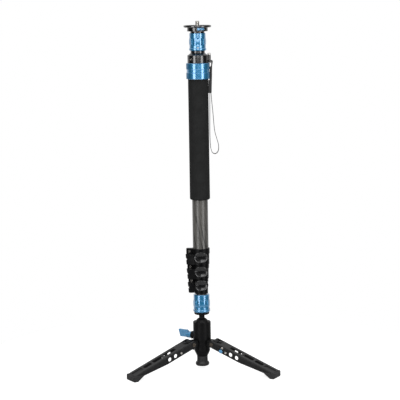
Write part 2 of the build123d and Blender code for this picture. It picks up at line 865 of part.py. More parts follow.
def grip_sleeve():
    grip = turned(
        [
            (tube_1_radius, grip_base),
            (grip_bottom_radius, grip_base),
            (grip_top_radius, grip_top),
            (tube_1_radius, grip_top),
        ]
    )
    return fillet(rims(grip, grip_base, grip_bottom_radius), grip_edge_radius)


def grip_collar():
    top, bottom = grip_collar_top, grip_top
    groove = grip_collar_radius - grip_groove_depth
    return turned(
        [
            (tube_1_radius, bottom),
            (grip_collar_radius - edge_break, bottom),
            (grip_collar_radius, bottom + edge_break),
            (grip_collar_radius, bottom + grip_band_height - grip_groove_depth),
            (groove, bottom + grip_band_height),
            (groove, top - grip_band_height),
            (grip_collar_radius, top - grip_band_height + grip_groove_depth),
            (grip_collar_radius, top - edge_break),
            (grip_collar_radius - edge_break, top),
            (tube_1_radius, top),
        ]
    )


def lug_slot():
    """The limits in height of the slot that the strap's eye sits in."""
    top = shoulder_top - lug_slot_drop
    return top - lug_slot_height, top


def shoulder_cap():
    """The black casting on the top tube, with its neck and the strap's lug."""
    slope_top = shoulder_top + shoulder_slope
    body = turned(
        [
            (0, grip_collar_top),
            (cap_radius, grip_collar_top),
            (cap_radius, shoulder_top),
            (shoulder_neck_radius, slope_top),
            (shoulder_neck_radius, top_collar_bottom),
            (0, top_collar_bottom),
        ]
    )
    body = fillet(rims(body, shoulder_top, cap_radius), 3 * edge_break)
    lug = rod((lug_reach, 0, grip_collar_top), (lug_reach, 0, shoulder_top), lug_radius)
    bridge = block((0, lug_reach), (-lug_radius, lug_radius), (grip_collar_top, shoulder_top))
    body += lug + bridge
    slot_bottom, slot_top = lug_slot()
    body -= block(
        (lug_reach - strap_pin_radius - tab_neck_thickness - passing_gap, lug_reach + 2 * lug_radius),
        (-lug_radius - overrun, lug_radius + overrun),
        (slot_bottom, slot_top),
    )
    body -= tube(tube_1_radius, 0, grip_collar_top - overrun, tube_1_top)
    body -= tube(coupling_radius + screw_gap, 0, tube_1_top - overrun, top_collar_bottom + overrun)
    pin_start = (lug_reach, 0, grip_collar_top + strap_pin_foot)
    body -= rod(pin_start, (lug_reach, 0, shoulder_top + overrun), strap_pin_radius + screw_gap)
    body -= rod(
        (lug_reach, 0, shoulder_top), (lug_reach, 0, slope_top + overrun), strap_pin_head_radius + screw_gap
    )
    screw_level = grip_collar_top + shoulder_height / 2
    body -= rod(
        polar(tube_1_radius, shoulder_screw_polar, screw_level),
        polar(cap_radius + overrun, shoulder_screw_polar, screw_level),
        shoulder_screw_radius + screw_gap,
    )
    return body


def shoulder_screw():
    level = grip_collar_top + shoulder_height / 2
    head_end = polar(cap_radius + shoulder_screw_head, shoulder_screw_polar, level)
    shank_end = polar(cap_radius - shoulder_screw_depth, shoulder_screw_polar, level)
    screw = rod(shank_end, head_end, shoulder_screw_radius)
    screw += rod(polar(cap_radius, shoulder_screw_polar, level), head_end, shoulder_screw_head_radius)
    socket = Plane(origin=head_end, z_dir=-Vector(*polar(1, shoulder_screw_polar)))
    return screw - hex_socket(socket, shoulder_screw_radius * socket_share, shoulder_screw_head)


def strap_pin():
    bottom = grip_collar_top + strap_pin_foot
    pin = rod((lug_reach, 0, bottom), (lug_reach, 0, shoulder_top), strap_pin_radius)
    head_top = (lug_reach, 0, shoulder_top + strap_pin_head)
    head = rod((lug_reach, 0, shoulder_top), head_top, strap_pin_head_radius)
    return pin + fillet(head.edges().filter_by(GeomType.CIRCLE).sort_by(Axis.Z)[-1], 3 * edge_break)


def strap_tab():
    """The stitched end of the strap: an eye round the lug's pin, a fold outwards, and the doubled tail."""
    slot_bottom, slot_top = lug_slot()
    eye_bottom, eye_top = slot_bottom + passing_gap, slot_top - passing_gap
    eye_radius = strap_pin_radius + tab_neck_thickness / 2
    eye = rod((lug_reach, 0, eye_bottom), (lug_reach, 0, eye_top), eye_radius)
    out_start = lug_reach
    out_end = tab_middle + tab_thickness / 2
    neck = block((out_start, out_end), (-eye_radius, eye_radius), (eye_bottom, eye_top))
    tail_in = grip_collar_radius + passing_gap
    tail_out = tail_in + tab_thickness
    tail = slab(
        [
            (tail_in, eye_top),
            (out_end + edge_break, eye_top),
            (tail_out + tab_shoulder, eye_bottom),
            (tail_out, eye_bottom - tab_shoulder_height),
            (tail_out, tab_bottom),
            (tail_in, tab_bottom),
            (tail_in, eye_bottom),
        ],
        tab_width,
    )
    clear = rod((lug_reach, 0, grip_collar_top), (lug_reach, 0, shoulder_top), lug_radius + passing_gap)
    below = block((0, tail_out + tab_shoulder), (-tab_width, tab_width), (grip_collar_top, slot_bottom))
    tab = eye + neck + (tail - clear)
    tab -= clear & below
    return tab - rod((lug_reach, 0, eye_bottom), (lug_reach, 0, eye_top), strap_pin_radius + screw_gap)


# The strap's loop hangs from the tab: down its outer side, round the end and up beside the grip.
# Points are distance out from the pole's middle and height over the tab's bottom.
strap_route = (
    (31.0, 0),
    (31.3, -22.5),
    (33.0, -47.0),
    (34.2, -71.0),
    (36.2, -89.5),
    (40.8, -105.0),
    (44.8, -119.5),
    (44.2, -132.0),
    (38.2, -139.2),
    (30.4, -137.6),
    (26.5, -128.0),
    (25.2, -111.5),
    (24.8, -88.0),
    (25.2, -62.0),
    (26.4, -37.0),
    (27.9, -16.0),
    (28.3, 0),
)
strap_bend_share = 0.45  # of the shorter run beside a bend


def run_lengths(route):
    return [hypot(b[0] - a[0], b[1] - a[1]) for a, b in zip(route, route[1:])]


def bend_radii(route):
    """The radius of each bend: a share of its shorter run, over the tangent of half its turn."""
    runs = run_lengths(route)
    radii = []
    for i in range(1, len(route) - 1):
        before = atan2(route[i][1] - route[i - 1][1], route[i][0] - route[i - 1][0])
        after = atan2(route[i + 1][1] - route[i][1], route[i + 1][0] - route[i][0])
        turn = abs((degrees(after - before) + 180) % 360 - 180)
        radii.append(strap_bend_share * min(runs[i - 1], runs[i]) / tan(radians(turn / 2)))
    return radii


def wrist_strap():
    radii = bend_radii(strap_route)
    print("strap runs:", [round(run, 1) for run in run_lengths(strap_route)])
    print("strap bend radii:", [round(radius, 1) for radius in radii])
    path = FilletPolyline(*[(x, 0, tab_bottom + z) for x, z in strap_route], radius=radii)
    start = Plane(origin=path @ 0, x_dir=(0, 1, 0), z_dir=path % 0)
    section = start * Rectangle(strap_width, strap_thickness)
    strap = sweep(section, path=path)
    over_section = strap.volume / strap_width / strap_thickness
    print(f"strap length {path.length:.1f}, volume over section {over_section:.1f}")
    return strap


def top_collar():
    collar = blue_collar(top_collar_bottom, top_collar_height, coupling_radius + screw_gap)
    level = top_collar_bottom + collar_flange_height + collar_screw_radius
    return collar - collar_screw_hole(top_collar_screw_polar, level, coupling_radius)


def top_collar_screw():
    level = top_collar_bottom + collar_flange_height + collar_screw_radius
    return collar_screw(top_collar_screw_polar, level, coupling_radius + screw_gap)


def coupling_bolt():
    """The threaded rod that joins the shoulder, the top collar and the plate's housing."""
    return tube(coupling_radius, 0, tube_1_top, housing_bottom)


def wheel_housing():
    """The black skirt under the plate, open at three windows that show the thumb wheel."""
    neck_bottom = top_collar_top
    wall_inner = housing_radius - housing_wall
    floor_top = housing_bottom + housing_floor
    body = turned(
        [
            (0, neck_bottom),
            (housing_neck_radius, neck_bottom),
            (housing_neck_radius, housing_bottom),
            (housing_radius - edge_break, housing_bottom),
            (housing_radius, housing_bottom + edge_break),
            (housing_radius, plate_bottom),
            (wall_inner, plate_bottom),
            (wall_inner, floor_top),
            (0, floor_top),
        ]
    )
    reach = 2 * housing_radius
    for step in range(window_count):
        start = window_start + 360 * step / window_count
        wedge = upright(
            [(0, 0), polar(reach, start)[:2], polar(reach, start + window_turn)[:2]],
            floor_top,
            plate_bottom,
        )
        body -= wedge - tube(wall_inner - wheel_gap, 0, floor_top, plate_bottom)
    body -= tube(coupling_radius + screw_gap, 0, neck_bottom - overrun, housing_bottom)
    return body


def stud_wheel():
    """The knurled wheel that turns the stud from the side."""
    radius = housing_radius - housing_wall - wheel_gap
    bottom = housing_bottom + housing_floor + wheel_side_gap
    top = plate_bottom - wheel_side_gap
    wheel = tube(radius, stud_neck_radius, bottom, top)
    wheel = chamfer(rims(wheel, top, radius) + rims(wheel, bottom, radius), edge_break)
    for step in range(wheel_teeth):
        angle = 360 * step / wheel_teeth
        wheel -= rod(
            polar(radius + wheel_tooth_radius / 2, angle, bottom - overrun),
            polar(radius + wheel_tooth_radius / 2, angle, top + overrun),
            wheel_tooth_radius,
        )
    return wheel


def mounting_stud():
    bottom = housing_bottom + housing_floor + wheel_side_gap
    stud = tube(stud_neck_radius, 0, bottom, plate_top)
    stud += tube(stud_radius, 0, plate_top, plate_top + stud_proud)
    return chamfer(rims(stud, plate_top + stud_proud, stud_radius), stud_bevel)


def camera_plate():
    body = turned(
        [
            (stud_neck_radius + running_gap, plate_bottom),
            (plate_radius - plate_bevel, plate_bottom),
            (plate_radius, plate_bottom + plate_bevel),
            (plate_radius, plate_top - edge_break),
            (plate_radius - edge_break, plate_top),
            (pad_radius, plate_top),
            (pad_radius, plate_top - pad_thickness),
            (pad_hole_radius, plate_top - pad_thickness),
            (pad_hole_radius, plate_top),
            (stud_neck_radius + running_gap, plate_top),
        ]
    )
    return body


def plate_pad():
    return tube(pad_radius, pad_hole_radius, plate_top - pad_thickness, plate_top)


def put(name, pieces):
    """Name a node and give it its solids."""
    if not isinstance(pieces, list):
        pieces = [pieces]
    solids = [solid for piece in pieces for solid in piece.solids()]
    parts[name] = solids


parts = {}
put("centre_foot", centre_foot())
put("foot_bolt", foot_bolt())
put("hub_body", hub_body())
put("ball_cup", ball_cup())
put("ball_stem", ball_stem())
put("knob_shaft", knob_shaft())
put("lock_knob", lock_knob())
put("leg_pins", [Rot(0, 0, angle) * leg_pin() for angle in leg_polars])
for number, angle in enumerate(leg_polars, 1):
    turn = Rot(0, 0, angle)
    put(f"leg_arm_{number}", turn * leg_arm())
    put(f"leg_foot_{number}", turn * leg_foot())
    put(f"leg_button_{number}", turn * leg_button())
    put(f"leg_spring_{number}", turn * leg_spring())
    put(f"leg_screws_{number}", [turn * screw for screw in catch_screws()])
put("lower_collar", lower_collar())
put("lower_collar_screws", lower_collar_screws())
for section in range(1, section_count + 1):
    put(f"tube_{section}", section_tube(section))
    if section > 1:
        put(f"guide_bush_{section}", guide_bush(section))
for lock in range(1, section_count):
    put(f"lock_clamp_{lock}", lock_clamp(lock))
    put(f"lock_bush_{lock}", lock_bush(lock))
    put(f"lock_lever_{lock}", lock_lever(lock))
    put(f"lock_hardware_{lock}", lock_hardware(lock))
put("grip_sleeve", grip_sleeve())
put("grip_collar", grip_collar())
put("shoulder_cap", shoulder_cap())
put("shoulder_screw", shoulder_screw())
put("strap_pin", strap_pin())
put("strap_tab", strap_tab())
put("wrist_strap", wrist_strap())
put("coupling_bolt", coupling_bolt())
put("top_collar", top_collar())
put("top_collar_screw", top_collar_screw())
put("wheel_housing", wheel_housing())
put("stud_wheel", stud_wheel())
put("mounting_stud", mounting_stud())
put("camera_plate", camera_plate())
put("plate_pad", plate_pad())

# The origin is the middle of the footprint, so the pole stands a little way from it
feet = Compound([solid for number in (1, 2, 3) for solid in parts[f"leg_foot_{number}"]]).bounding_box()
pole_x = -(feet.min.X + feet.max.X) / 2
pole_y = -(feet.min.Y + feet.max.Y) / 2
print(f"pole at x {pole_x:.4f}, y {pole_y:.4f}; footprint {feet.size.X:.1f} by {feet.size.Y:.1f}")

os.makedirs("parts", exist_ok=True)
for name, solids in parts.items():
    placed = [Pos(pole_x, pole_y, 0) * solid for solid in solids]
    node = placed[0] if len(placed) == 1 else Compound(placed)
    export_step(node, f"parts/{name}.step")
print(len(parts), "nodes, top at", round(plate_top + stud_proud, 2))
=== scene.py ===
import json
import math

import bmesh
import bpy
from mathutils import Matrix, Vector


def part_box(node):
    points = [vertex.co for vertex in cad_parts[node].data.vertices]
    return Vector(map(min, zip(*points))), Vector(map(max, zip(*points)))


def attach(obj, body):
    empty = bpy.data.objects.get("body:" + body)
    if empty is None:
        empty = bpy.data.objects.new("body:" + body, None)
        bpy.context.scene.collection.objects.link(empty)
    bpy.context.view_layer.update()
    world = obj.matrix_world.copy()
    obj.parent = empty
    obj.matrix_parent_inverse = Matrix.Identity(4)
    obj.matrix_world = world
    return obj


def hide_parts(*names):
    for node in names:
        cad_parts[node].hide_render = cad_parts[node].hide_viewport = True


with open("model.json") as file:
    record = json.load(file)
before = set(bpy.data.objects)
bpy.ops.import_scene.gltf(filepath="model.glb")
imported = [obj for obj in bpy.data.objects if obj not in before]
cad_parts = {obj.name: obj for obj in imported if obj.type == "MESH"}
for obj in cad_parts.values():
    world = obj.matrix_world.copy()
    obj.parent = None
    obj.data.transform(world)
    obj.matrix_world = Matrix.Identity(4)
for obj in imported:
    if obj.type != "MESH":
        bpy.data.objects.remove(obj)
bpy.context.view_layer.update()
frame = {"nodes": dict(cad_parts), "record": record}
mm = 0.001
poleLow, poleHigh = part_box("tube_1")
poleX = (poleLow.x + poleHigh.x) / 2
poleY = (poleLow.y + poleHigh.y) / 2
poleFoot = (poleX, poleY, 0)
midX, midY = poleX / mm, poleY / mm
print("frame loaded, pole at", round(midX, 2), round(midY, 2))


# camera first, then the light


view = {
    "distance": 3.390,  # from the pole
    "height": 0.8888,
    "side": -1.6,  # degrees to the left of straight on
    "down": 8.25,
    "roll": -0.89,
    "lens": 134.4,
    "sensor": 36,
    "near": 0.05,
}


def addCamera():
    camera = bpy.data.objects.new("camera", bpy.data.cameras.new("camera"))
    bpy.context.scene.collection.objects.link(camera)
    camera.data.lens = view["lens"]
    camera.data.sensor_width = view["sensor"]
    camera.data.clip_start = view["near"]
    side = math.radians(view["side"])
    reach = view["distance"]
    camera.location = (poleX + reach * math.sin(side), poleY - reach * math.cos(side), view["height"])
    aim = Matrix.Rotation(side, 4, "Z") @ Matrix.Rotation(math.radians(90 - view["down"]), 4, "X")
    aim = aim @ Matrix.Rotation(math.radians(view["roll"]), 4, "Z")
    camera.rotation_euler = aim.to_euler()
    bpy.context.scene.camera = camera


lamps = [
    # name, radiance, width, height, direction in degrees from the camera's side, lift, distance
    ("leftBox", 3.9, 0.42, 1.3, -40, 0.55, 1.15),
    ("rightBox", 3.7, 0.42, 1.3, 43, 0.55, 1.15),
]
topBox = {"radiance": 2.6, "size": 0.9, "place": (0, -0.9, 1.9), "aim": 0.3}
frontBox = {"radiance": 2.8, "width": 0.9, "height": 0.62, "turn": 3, "climb": 30, "reach": 1.5, "aim": 0.25}


def addLamp(name, radiance, width, height, place, target):
    lamp = bpy.data.lights.new(name, "AREA")
    lamp.shape = "RECTANGLE"
    lamp.size, lamp.size_y = width, height
    lamp.energy = radiance * math.pi * width * height
    box = bpy.data.objects.new(name, lamp)
    bpy.context.scene.collection.objects.link(box)
    box.location = place
    box.rotation_euler = (Vector(target) - Vector(place)).to_track_quat("-Z", "Y").to_euler()
    box.visible_camera = False


def addLight():
    for name, radiance, width, height, turn, lift, reach in lamps:
        turn = math.radians(turn)
        place = (poleX + reach * math.sin(turn), poleY - reach * math.cos(turn), lift)
        addLamp(name, radiance, width, height, place, (poleX, poleY, lift))
    place = Vector(topBox["place"]) + Vector((poleX, poleY, 0))
    size = topBox["size"]
    addLamp("topBox", topBox["radiance"], size, size, place, (poleX, poleY, topBox["aim"]))
    turn, climb, reach = math.radians(frontBox["turn"]), math.radians(frontBox["climb"]), frontBox["reach"]
    away = Vector((math.sin(turn) * math.cos(climb), -math.cos(turn) * math.cos(climb), math.sin(climb)))
    aim = Vector((poleX, poleY, frontBox["aim"]))
    addLamp("frontBox", frontBox["radiance"], frontBox["width"], frontBox["height"], aim + reach * away, aim)


def addNode(nodes, kind, **values):
    # each value is the node's own setting, or one of its sockets
    node = nodes.new(kind)
    for name, value in values.items():
        if hasattr(node, name):
            setattr(node, name, value)
        else:
            node.inputs[name.replace("_", " ")].default_value = value
    return node


def wire(links, *pairs):
    for start, end in pairs:
        links.new(start, end)


room = {
    "floorSize": 0.55, "floorWhite": 0.5, "floorRoughness": 0.9, "glow": 0.8,
    "top": 0.7, "front": 0.015, "back": 0.85, "depth": (0.1, 0.8), "rise": (0.15, 0.8),
}


def addWorld():
    # white to the camera, and to all else a room that is dark in front and pale behind and above
    world = bpy.data.worlds.new("room")
    bpy.context.scene.world = world
    world.use_nodes = True
    nodes, links = world.node_tree.nodes, world.node_tree.links
    nodes.clear()
    out = nodes.new("ShaderNodeOutputWorld")
    mix = nodes.new("ShaderNodeMixShader")
    seen = addNode(nodes, "ShaderNodeBackground", Color=(1, 1, 1, 1))
    light = nodes.new("ShaderNodeBackground")
    path = nodes.new("ShaderNodeLightPath")
    place = nodes.new("ShaderNodeTexCoord")
    split = nodes.new("ShaderNodeSeparateXYZ")
    (near, far), (low, high) = room["depth"], room["rise"]
    smooth = {"interpolation_type": "SMOOTHSTEP"}
    ends = {"To_Min": room["front"], "To_Max": room["back"]}
    depth = addNode(nodes, "ShaderNodeMapRange", From_Min=near, From_Max=far, **ends, **smooth)
    rise = addNode(nodes, "ShaderNodeMapRange", From_Min=low, From_Max=high, **smooth)
    blend = addNode(nodes, "ShaderNodeMix", data_type="RGBA")
    blend.inputs["B"].default_value = (room["top"], room["top"], room["top"], 1)
    wire(
        links, (place.outputs["Generated"], split.inputs[0]),
        (split.outputs["Y"], depth.inputs["Value"]), (split.outputs["Z"], rise.inputs["Value"]),
        (rise.outputs["Result"], blend.inputs["Factor"]), (depth.outputs["Result"], blend.inputs["A"]),
        (blend.outputs["Result"], light.inputs["Color"]), (path.outputs["Is Camera Ray"], mix.inputs[0]),
        (light.outputs[0], mix.inputs[1]), (seen.outputs[0], mix.inputs[2]), (mix.outputs[0], out.inputs[0]),
    )
    bpy.context.scene.view_settings.view_transform = "Standard"


def addFloor():
    bpy.ops.object.select_all(action="DESELECT")
    bpy.ops.mesh.primitive_circle_add(vertices=64, radius=room["floorSize"], fill_type="NGON")
    floor = bpy.context.object
    floor.name = "floor"
    material = bpy.data.materials.new("floor")
    material.use_nodes = True
    nodes, links = material.node_tree.nodes, material.node_tree.links
    shader = nodes["Principled BSDF"]
    shader.inputs["Base Color"].default_value = (*(room["floorWhite"],) * 3, 1)
    shader.inputs["Roughness"].default_value = room["floorRoughness"]
    # lifts the floor to the backdrop's white for the camera alone
    glow = addNode(nodes, "ShaderNodeEmission", Strength=room["glow"])
    path = nodes.new("ShaderNodeLightPath")
    both = nodes.new("ShaderNodeAddShader")
    mix = nodes.new("ShaderNodeMixShader")
    wire(
        links, (shader.outputs[0], both.inputs[0]), (glow.outputs[0], both.inputs[1]),
        (path.outputs["Is Camera Ray"], mix.inputs[0]), (shader.outputs[0], mix.inputs[1]),
        (both.outputs[0], mix.inputs[2]), (mix.outputs[0], nodes["Material Output"].inputs["Surface"]),
    )
    floor.data.materials.append(material)


addCamera()
addLight()
addWorld()
addFloor()
print("camera, light and floor are in place")


# materials


def startMaterial(name, colour, roughness, metallic=0.0, ior=1.5):
    material = bpy.data.materials.new(name)
    material.use_nodes = True
    shader = material.node_tree.nodes["Principled BSDF"]
    shader.inputs["Base Color"].default_value = (*colour, 1)
    shader.inputs["Roughness"].default_value = roughness
    shader.inputs["Metallic"].default_value = metallic
    shader.inputs["IOR"].default_value = ior
    return material, material.node_tree.nodes, material.node_tree.links, shader


def grainNoise(nodes, links, scale, stretch=(1, 1, 1), detail=3.0):
    place = nodes.new("ShaderNodeTexCoord")
    mapping = addNode(nodes, "ShaderNodeMapping", Location=(-poleX, -poleY, 0), Scale=stretch)
    noise = addNode(nodes, "ShaderNodeTexNoise", Scale=scale, Detail=detail)
    wire(links, (place.outputs["Object"], mapping.inputs[0]), (mapping.outputs[0], noise.inputs["Vector"]))
    return noise.outputs["Fac"]


def varied(nodes, links, source, low, high, target, start=0.35, end=0.65):
    spread = addNode(nodes, "ShaderNodeMapRange", From_Min=start, From_Max=end, To_Min=low, To_Max=high)
    wire(links, (source, spread.inputs["Value"]), (spread.outputs["Result"], target))


def coloured(nodes, links, source, dark, light, target, start=0.35, end=0.65):
    ramp = nodes.new("ShaderNodeValToRGB")
    for stop, place, tone in zip(ramp.color_ramp.elements, (start, end), (dark, light)):
        stop.position = place
        stop.color = (*tone, 1)
    wire(links, (source, ramp.inputs[0]), (ramp.outputs[0], target))


def bumped(nodes, links, source, depth, shader, strength=1.0):
    bump = addNode(nodes, "ShaderNodeBump", Strength=strength, Distance=depth * mm)
    wire(links, (source, bump.inputs["Height"]), (bump.outputs[0], shader.inputs["Normal"]))


coats = {
    # fine grain drives the roughness and the bump, and a coarser cloud the colour between dark and light
    "black_anodised": {
        "name": "blackAnodised", "tone": (0.004, 0.004, 0.0045), "roughness": 0.2, "ior": 2.0,
        "grain": 700, "stretch": (0.02, 0.02, 1), "spread": (0.16, 0.24), "bump": (0.004, 0.3),
        "cloud": 90, "dark": (0.003, 0.003, 0.0034), "light": (0.0055, 0.0055, 0.006),
    },
    "black_cast": {
        "name": "blackCast", "tone": (0.003, 0.003, 0.0034), "roughness": 0.25,
        "grain": 1600, "spread": (0.2, 0.3), "bump": (0.02, 0.3),
        "cloud": 120, "dark": (0.0025, 0.0025, 0.003), "light": (0.0045, 0.0045, 0.005),
    },
    "dish_black": {  # the levers' polished thumb dishes
        "name": "dishBlack", "tone": (0.003, 0.003, 0.0034), "roughness": 0.24, "ior": 1.65,
        "grain": 900, "spread": (0.2, 0.27),
        "cloud": 120, "dark": (0.0025, 0.0025, 0.003), "light": (0.004, 0.004, 0.0044),
    },
    "hub_black": {  # the cast pieces' coat, matt
        "name": "hubBlack", "tone": (0.003, 0.003, 0.0033), "roughness": 0.4, "ior": 1.24,
        "grain": 1600, "spread": (0.34, 0.46), "bump": (0.02, 0.3),
        "cloud": 120, "dark": (0.0022, 0.0022, 0.0025), "light": (0.004, 0.004, 0.0043),
    },
    "grey_leg": {
        "name": "legGrey", "tone": (0.009, 0.009, 0.0095), "roughness": 0.42, "ior": 1.3,
        "grain": 1400, "spread": (0.36, 0.48), "bump": (0.03, 0.4),
        "cloud": 120, "dark": (0.007, 0.007, 0.0074), "light": (0.011, 0.011, 0.0115),
    },
    "steel": {
        "name": "steel", "tone": (0.62, 0.6, 0.57), "roughness": 0.25, "metallic": 1,
        "grain": 1800, "spread": (0.2, 0.34),
        "cloud": 300, "dark": (0.5, 0.48, 0.45), "light": (0.68, 0.66, 0.63),
    },
    "dark_steel": {  # the browned heads of the hinge pins
        "name": "darkSteel", "tone": (0.1, 0.085, 0.07), "roughness": 0.32, "metallic": 1,
        "grain": 1800, "spread": (0.26, 0.4),
        "cloud": 300, "dark": (0.07, 0.06, 0.05), "light": (0.13, 0.11, 0.09),
    },
    "black_plastic": {
        "name": "blackPlastic", "tone": (0.007, 0.007, 0.0075), "roughness": 0.45,
        "grain": 2200, "spread": (0.38, 0.5),
        "cloud": 2200, "dark": (0.006, 0.006, 0.0065), "light": (0.009, 0.009, 0.0095),
    },
    "foot_rubber": {
        "name": "footRubber", "tone": (0.008, 0.008, 0.0085), "roughness": 0.55,
        "grain": 1500, "spread": (0.45, 0.62), "bump": (0.05, 0.5),
        "cloud": 150, "dark": (0.006, 0.006, 0.0064), "light": (0.0105, 0.0105, 0.011),
    },
}


def makeCoat(coat):
    material, nodes, links, shader = startMaterial(
        coat["name"], coat["tone"], coat["roughness"], coat.get("metallic", 0), coat.get("ior", 1.5)
    )
    grain = grainNoise(nodes, links, coat["grain"], coat.get("stretch", (1, 1, 1)))
    varied(nodes, links, grain, *coat["spread"], shader.inputs["Roughness"])
    cloud = grainNoise(nodes, links, coat["cloud"])
    coloured(nodes, links, cloud, coat["dark"], coat["light"], shader.inputs["Base Color"])
    if "bump" in coat:
        depth, strength = coat["bump"]
        bumped(nodes, links, grain, depth, shader, strength)
    return material


blue = {
    "dark": (0.026, 0.24, 0.49), "light": (0.034, 0.29, 0.57), "cloud": 25, "turning": 500,
    "spread": (0.27, 0.33), "metallic": 0.55, "coatRoughness": 0.17, "coatIor": 2.1,
}


def makeBlue():
    material, nodes, links, shader = startMaterial("blueAnodised", blue["light"], 0.3, blue["metallic"])
    cloud = grainNoise(nodes, links, blue["cloud"])
    coloured(nodes, links, cloud, blue["dark"], blue["light"], shader.inputs["Base Color"], 0.2, 0.8)
    rings = grainNoise(nodes, links, blue["turning"], (0.02, 0.02, 1), 1.0)  # the marks of turning
    varied(nodes, links, rings, *blue["spread"], shader.inputs["Roughness"])
    shader.inputs["Coat Weight"].default_value = 1
    shader.inputs["Coat Roughness"].default_value = blue["coatRoughness"]
    shader.inputs["Coat IOR"].default_value = blue["coatIor"]
    return material


carbon = {
    "lean": 0.19, "coarse": 210, "fine": 900, "along": 0.03, "tone": (0.09, 0.09, 0.088),
    "dark": (0.018, 0.018, 0.0175), "light": (0.1, 0.096, 0.088), "spread": (0.3, 0.45),
}


def makeCarbon():
    # unidirectional fibre wound at a steep angle: noise read along a helix round the pole
    material, nodes, links, shader = startMaterial("carbon", carbon["tone"], 0.35)
    place = nodes.new("ShaderNodeTexCoord")
    mapping = addNode(nodes, "ShaderNodeMapping", Location=(-poleX, -poleY, 0))
    turn = addNode(nodes, "ShaderNodeVectorRotate", rotation_type="Z_AXIS")
    split = nodes.new("ShaderNodeSeparateXYZ")
    angle = addNode(nodes, "ShaderNodeMath", operation="MULTIPLY")
    angle.inputs[1].default_value = carbon["lean"] / ((poleHigh.x - poleLow.x) / 2)
    wire(
        links, (place.outputs["Object"], mapping.inputs[0]), (mapping.outputs[0], split.inputs[0]),
        (split.outputs["Z"], angle.inputs[0]), (mapping.outputs[0], turn.inputs["Vector"]),
        (angle.outputs[0], turn.inputs["Angle"]),
    )
    both = addNode(nodes, "ShaderNodeMath", operation="ADD")
    for k, scale in enumerate((carbon["coarse"], carbon["fine"])):
        squeeze = addNode(nodes, "ShaderNodeMapping", Scale=(1, 1, carbon["along"]))
        noise = addNode(nodes, "ShaderNodeTexNoise", Scale=scale, Detail=2.0)
        wire(
            links, (turn.outputs[0], squeeze.inputs[0]), (squeeze.outputs[0], noise.inputs["Vector"]),
            (noise.outputs["Fac"], both.inputs[k]),
        )
    base = shader.inputs["Base Color"]
    coloured(nodes, links, both.outputs[0], carbon["dark"], carbon["light"], base, 0.82, 1.2)
    varied(nodes, links, noise.outputs["Fac"], *carbon["spread"], shader.inputs["Roughness"])
    shader.inputs["Coat Weight"].default_value = 0.3
    shader.inputs["Coat Roughness"].default_value = 0.2
    return material


foam = {"cells": 1500, "dark": (0.0075, 0.0078, 0.0078), "light": (0.0125, 0.013, 0.013), "pit": 0.12}


def makeFoam():
    # closed cell foam: fine pits with the skin's slight unevenness
    material, nodes, links, shader = startMaterial("gripFoam", foam["light"], 0.85)
    place = nodes.new("ShaderNodeTexCoord")
    cells = addNode(nodes, "ShaderNodeTexVoronoi", Scale=foam["cells"])
    links.new(place.outputs["Object"], cells.inputs["Vector"])
    cloud = grainNoise(nodes, links, 60)
    coloured(nodes, links, cloud, foam["dark"], foam["light"], shader.inputs["Base Color"], 0.3, 0.7)
    varied(nodes, links, cells.outputs["Distance"], 0.72, 0.95, shader.inputs["Roughness"], 0, 0.6)
    bumped(nodes, links, cells.outputs["Distance"], foam["pit"], shader, 0.6)
    shader.inputs["Specular IOR Level"].default_value = 0.3
    return material


webbing = {"ribs": 0.9, "dark": (0.012, 0.012, 0.0125), "light": (0.035, 0.034, 0.033)}


def makeWebbing():
    # ribs across the band, read from the piece's own map, whose U runs along it in millimetres
    material, nodes, links, shader = startMaterial("webbing", webbing["dark"], 0.8)
    place = nodes.new("ShaderNodeTexCoord")
    mapping = addNode(nodes, "ShaderNodeMapping", Scale=(1 / webbing["ribs"], 1 / webbing["ribs"], 1))
    checks = addNode(nodes, "ShaderNodeTexWave", Scale=1.0, Distortion=0.6, wave_profile="SIN")
    across = addNode(nodes, "ShaderNodeTexWave", Scale=0.7, Distortion=0.4, bands_direction="Y")
    both = addNode(nodes, "ShaderNodeMath", operation="MULTIPLY")
    wire(
        links, (place.outputs["UV"], mapping.inputs[0]), (mapping.outputs[0], checks.inputs["Vector"]),
        (mapping.outputs[0], across.inputs["Vector"]), (checks.outputs["Fac"], both.inputs[0]),
        (across.outputs["Fac"], both.inputs[1]),
    )
    base = shader.inputs["Base Color"]
    coloured(nodes, links, both.outputs[0], webbing["dark"], webbing["light"], base, 0.1, 0.8)
    varied(nodes, links, both.outputs[0], 0.6, 0.85, shader.inputs["Roughness"])
    bumped(nodes, links, both.outputs[0], 0.15, shader, 0.7)
    shader.inputs["Sheen Weight"].default_value = 0.2
    return material


finish = {slot: makeCoat(coat) for slot, coat in coats.items()}
finish["blue_anodised"] = makeBlue()
finish["carbon"] = makeCarbon()
finish["grip_rubber"] = makeFoam()
finish["webbing"] = makeWebbing()
slotOf = {part["node"]: part["material_slot"] for part in frame["record"]["subparts"]}


def coated(piece, coat):
    piece.data.materials.clear()
    piece.data.materials.append(finish[coat])


def dressNodes():
    for name, node in frame["nodes"].items():
        coated(node, "dark_steel" if name == "leg_pins" else slotOf[name])


dressNodes()
print("materials are on the frame's pieces")


# tools for the pieces


def span(node):
    low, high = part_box(node)
    return low.z / mm, high.z / mm


def outerOf(node):
    return (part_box(node)[1].x - poleX) / mm


def chosen(piece):
    bpy.ops.object.select_all(action="DESELECT")
    piece.select_set(True)
    bpy.context.view_layer.objects.active = piece


def place(name, mesh):
    piece = bpy.data.objects.new(name, mesh)
    bpy.context.scene.collection.objects.link(piece)
    chosen(piece)
    return piece


def drawn(name, points, edges, faces=()):
    mesh = bpy.data.meshes.new(name)
    mesh.from_pydata(points, edges, faces)
    return place(name, mesh)


def give(piece, body, nodes, slot, coat=None):
    coated(piece, coat or slot)
    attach(piece, body)
    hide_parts(*nodes)
    return piece


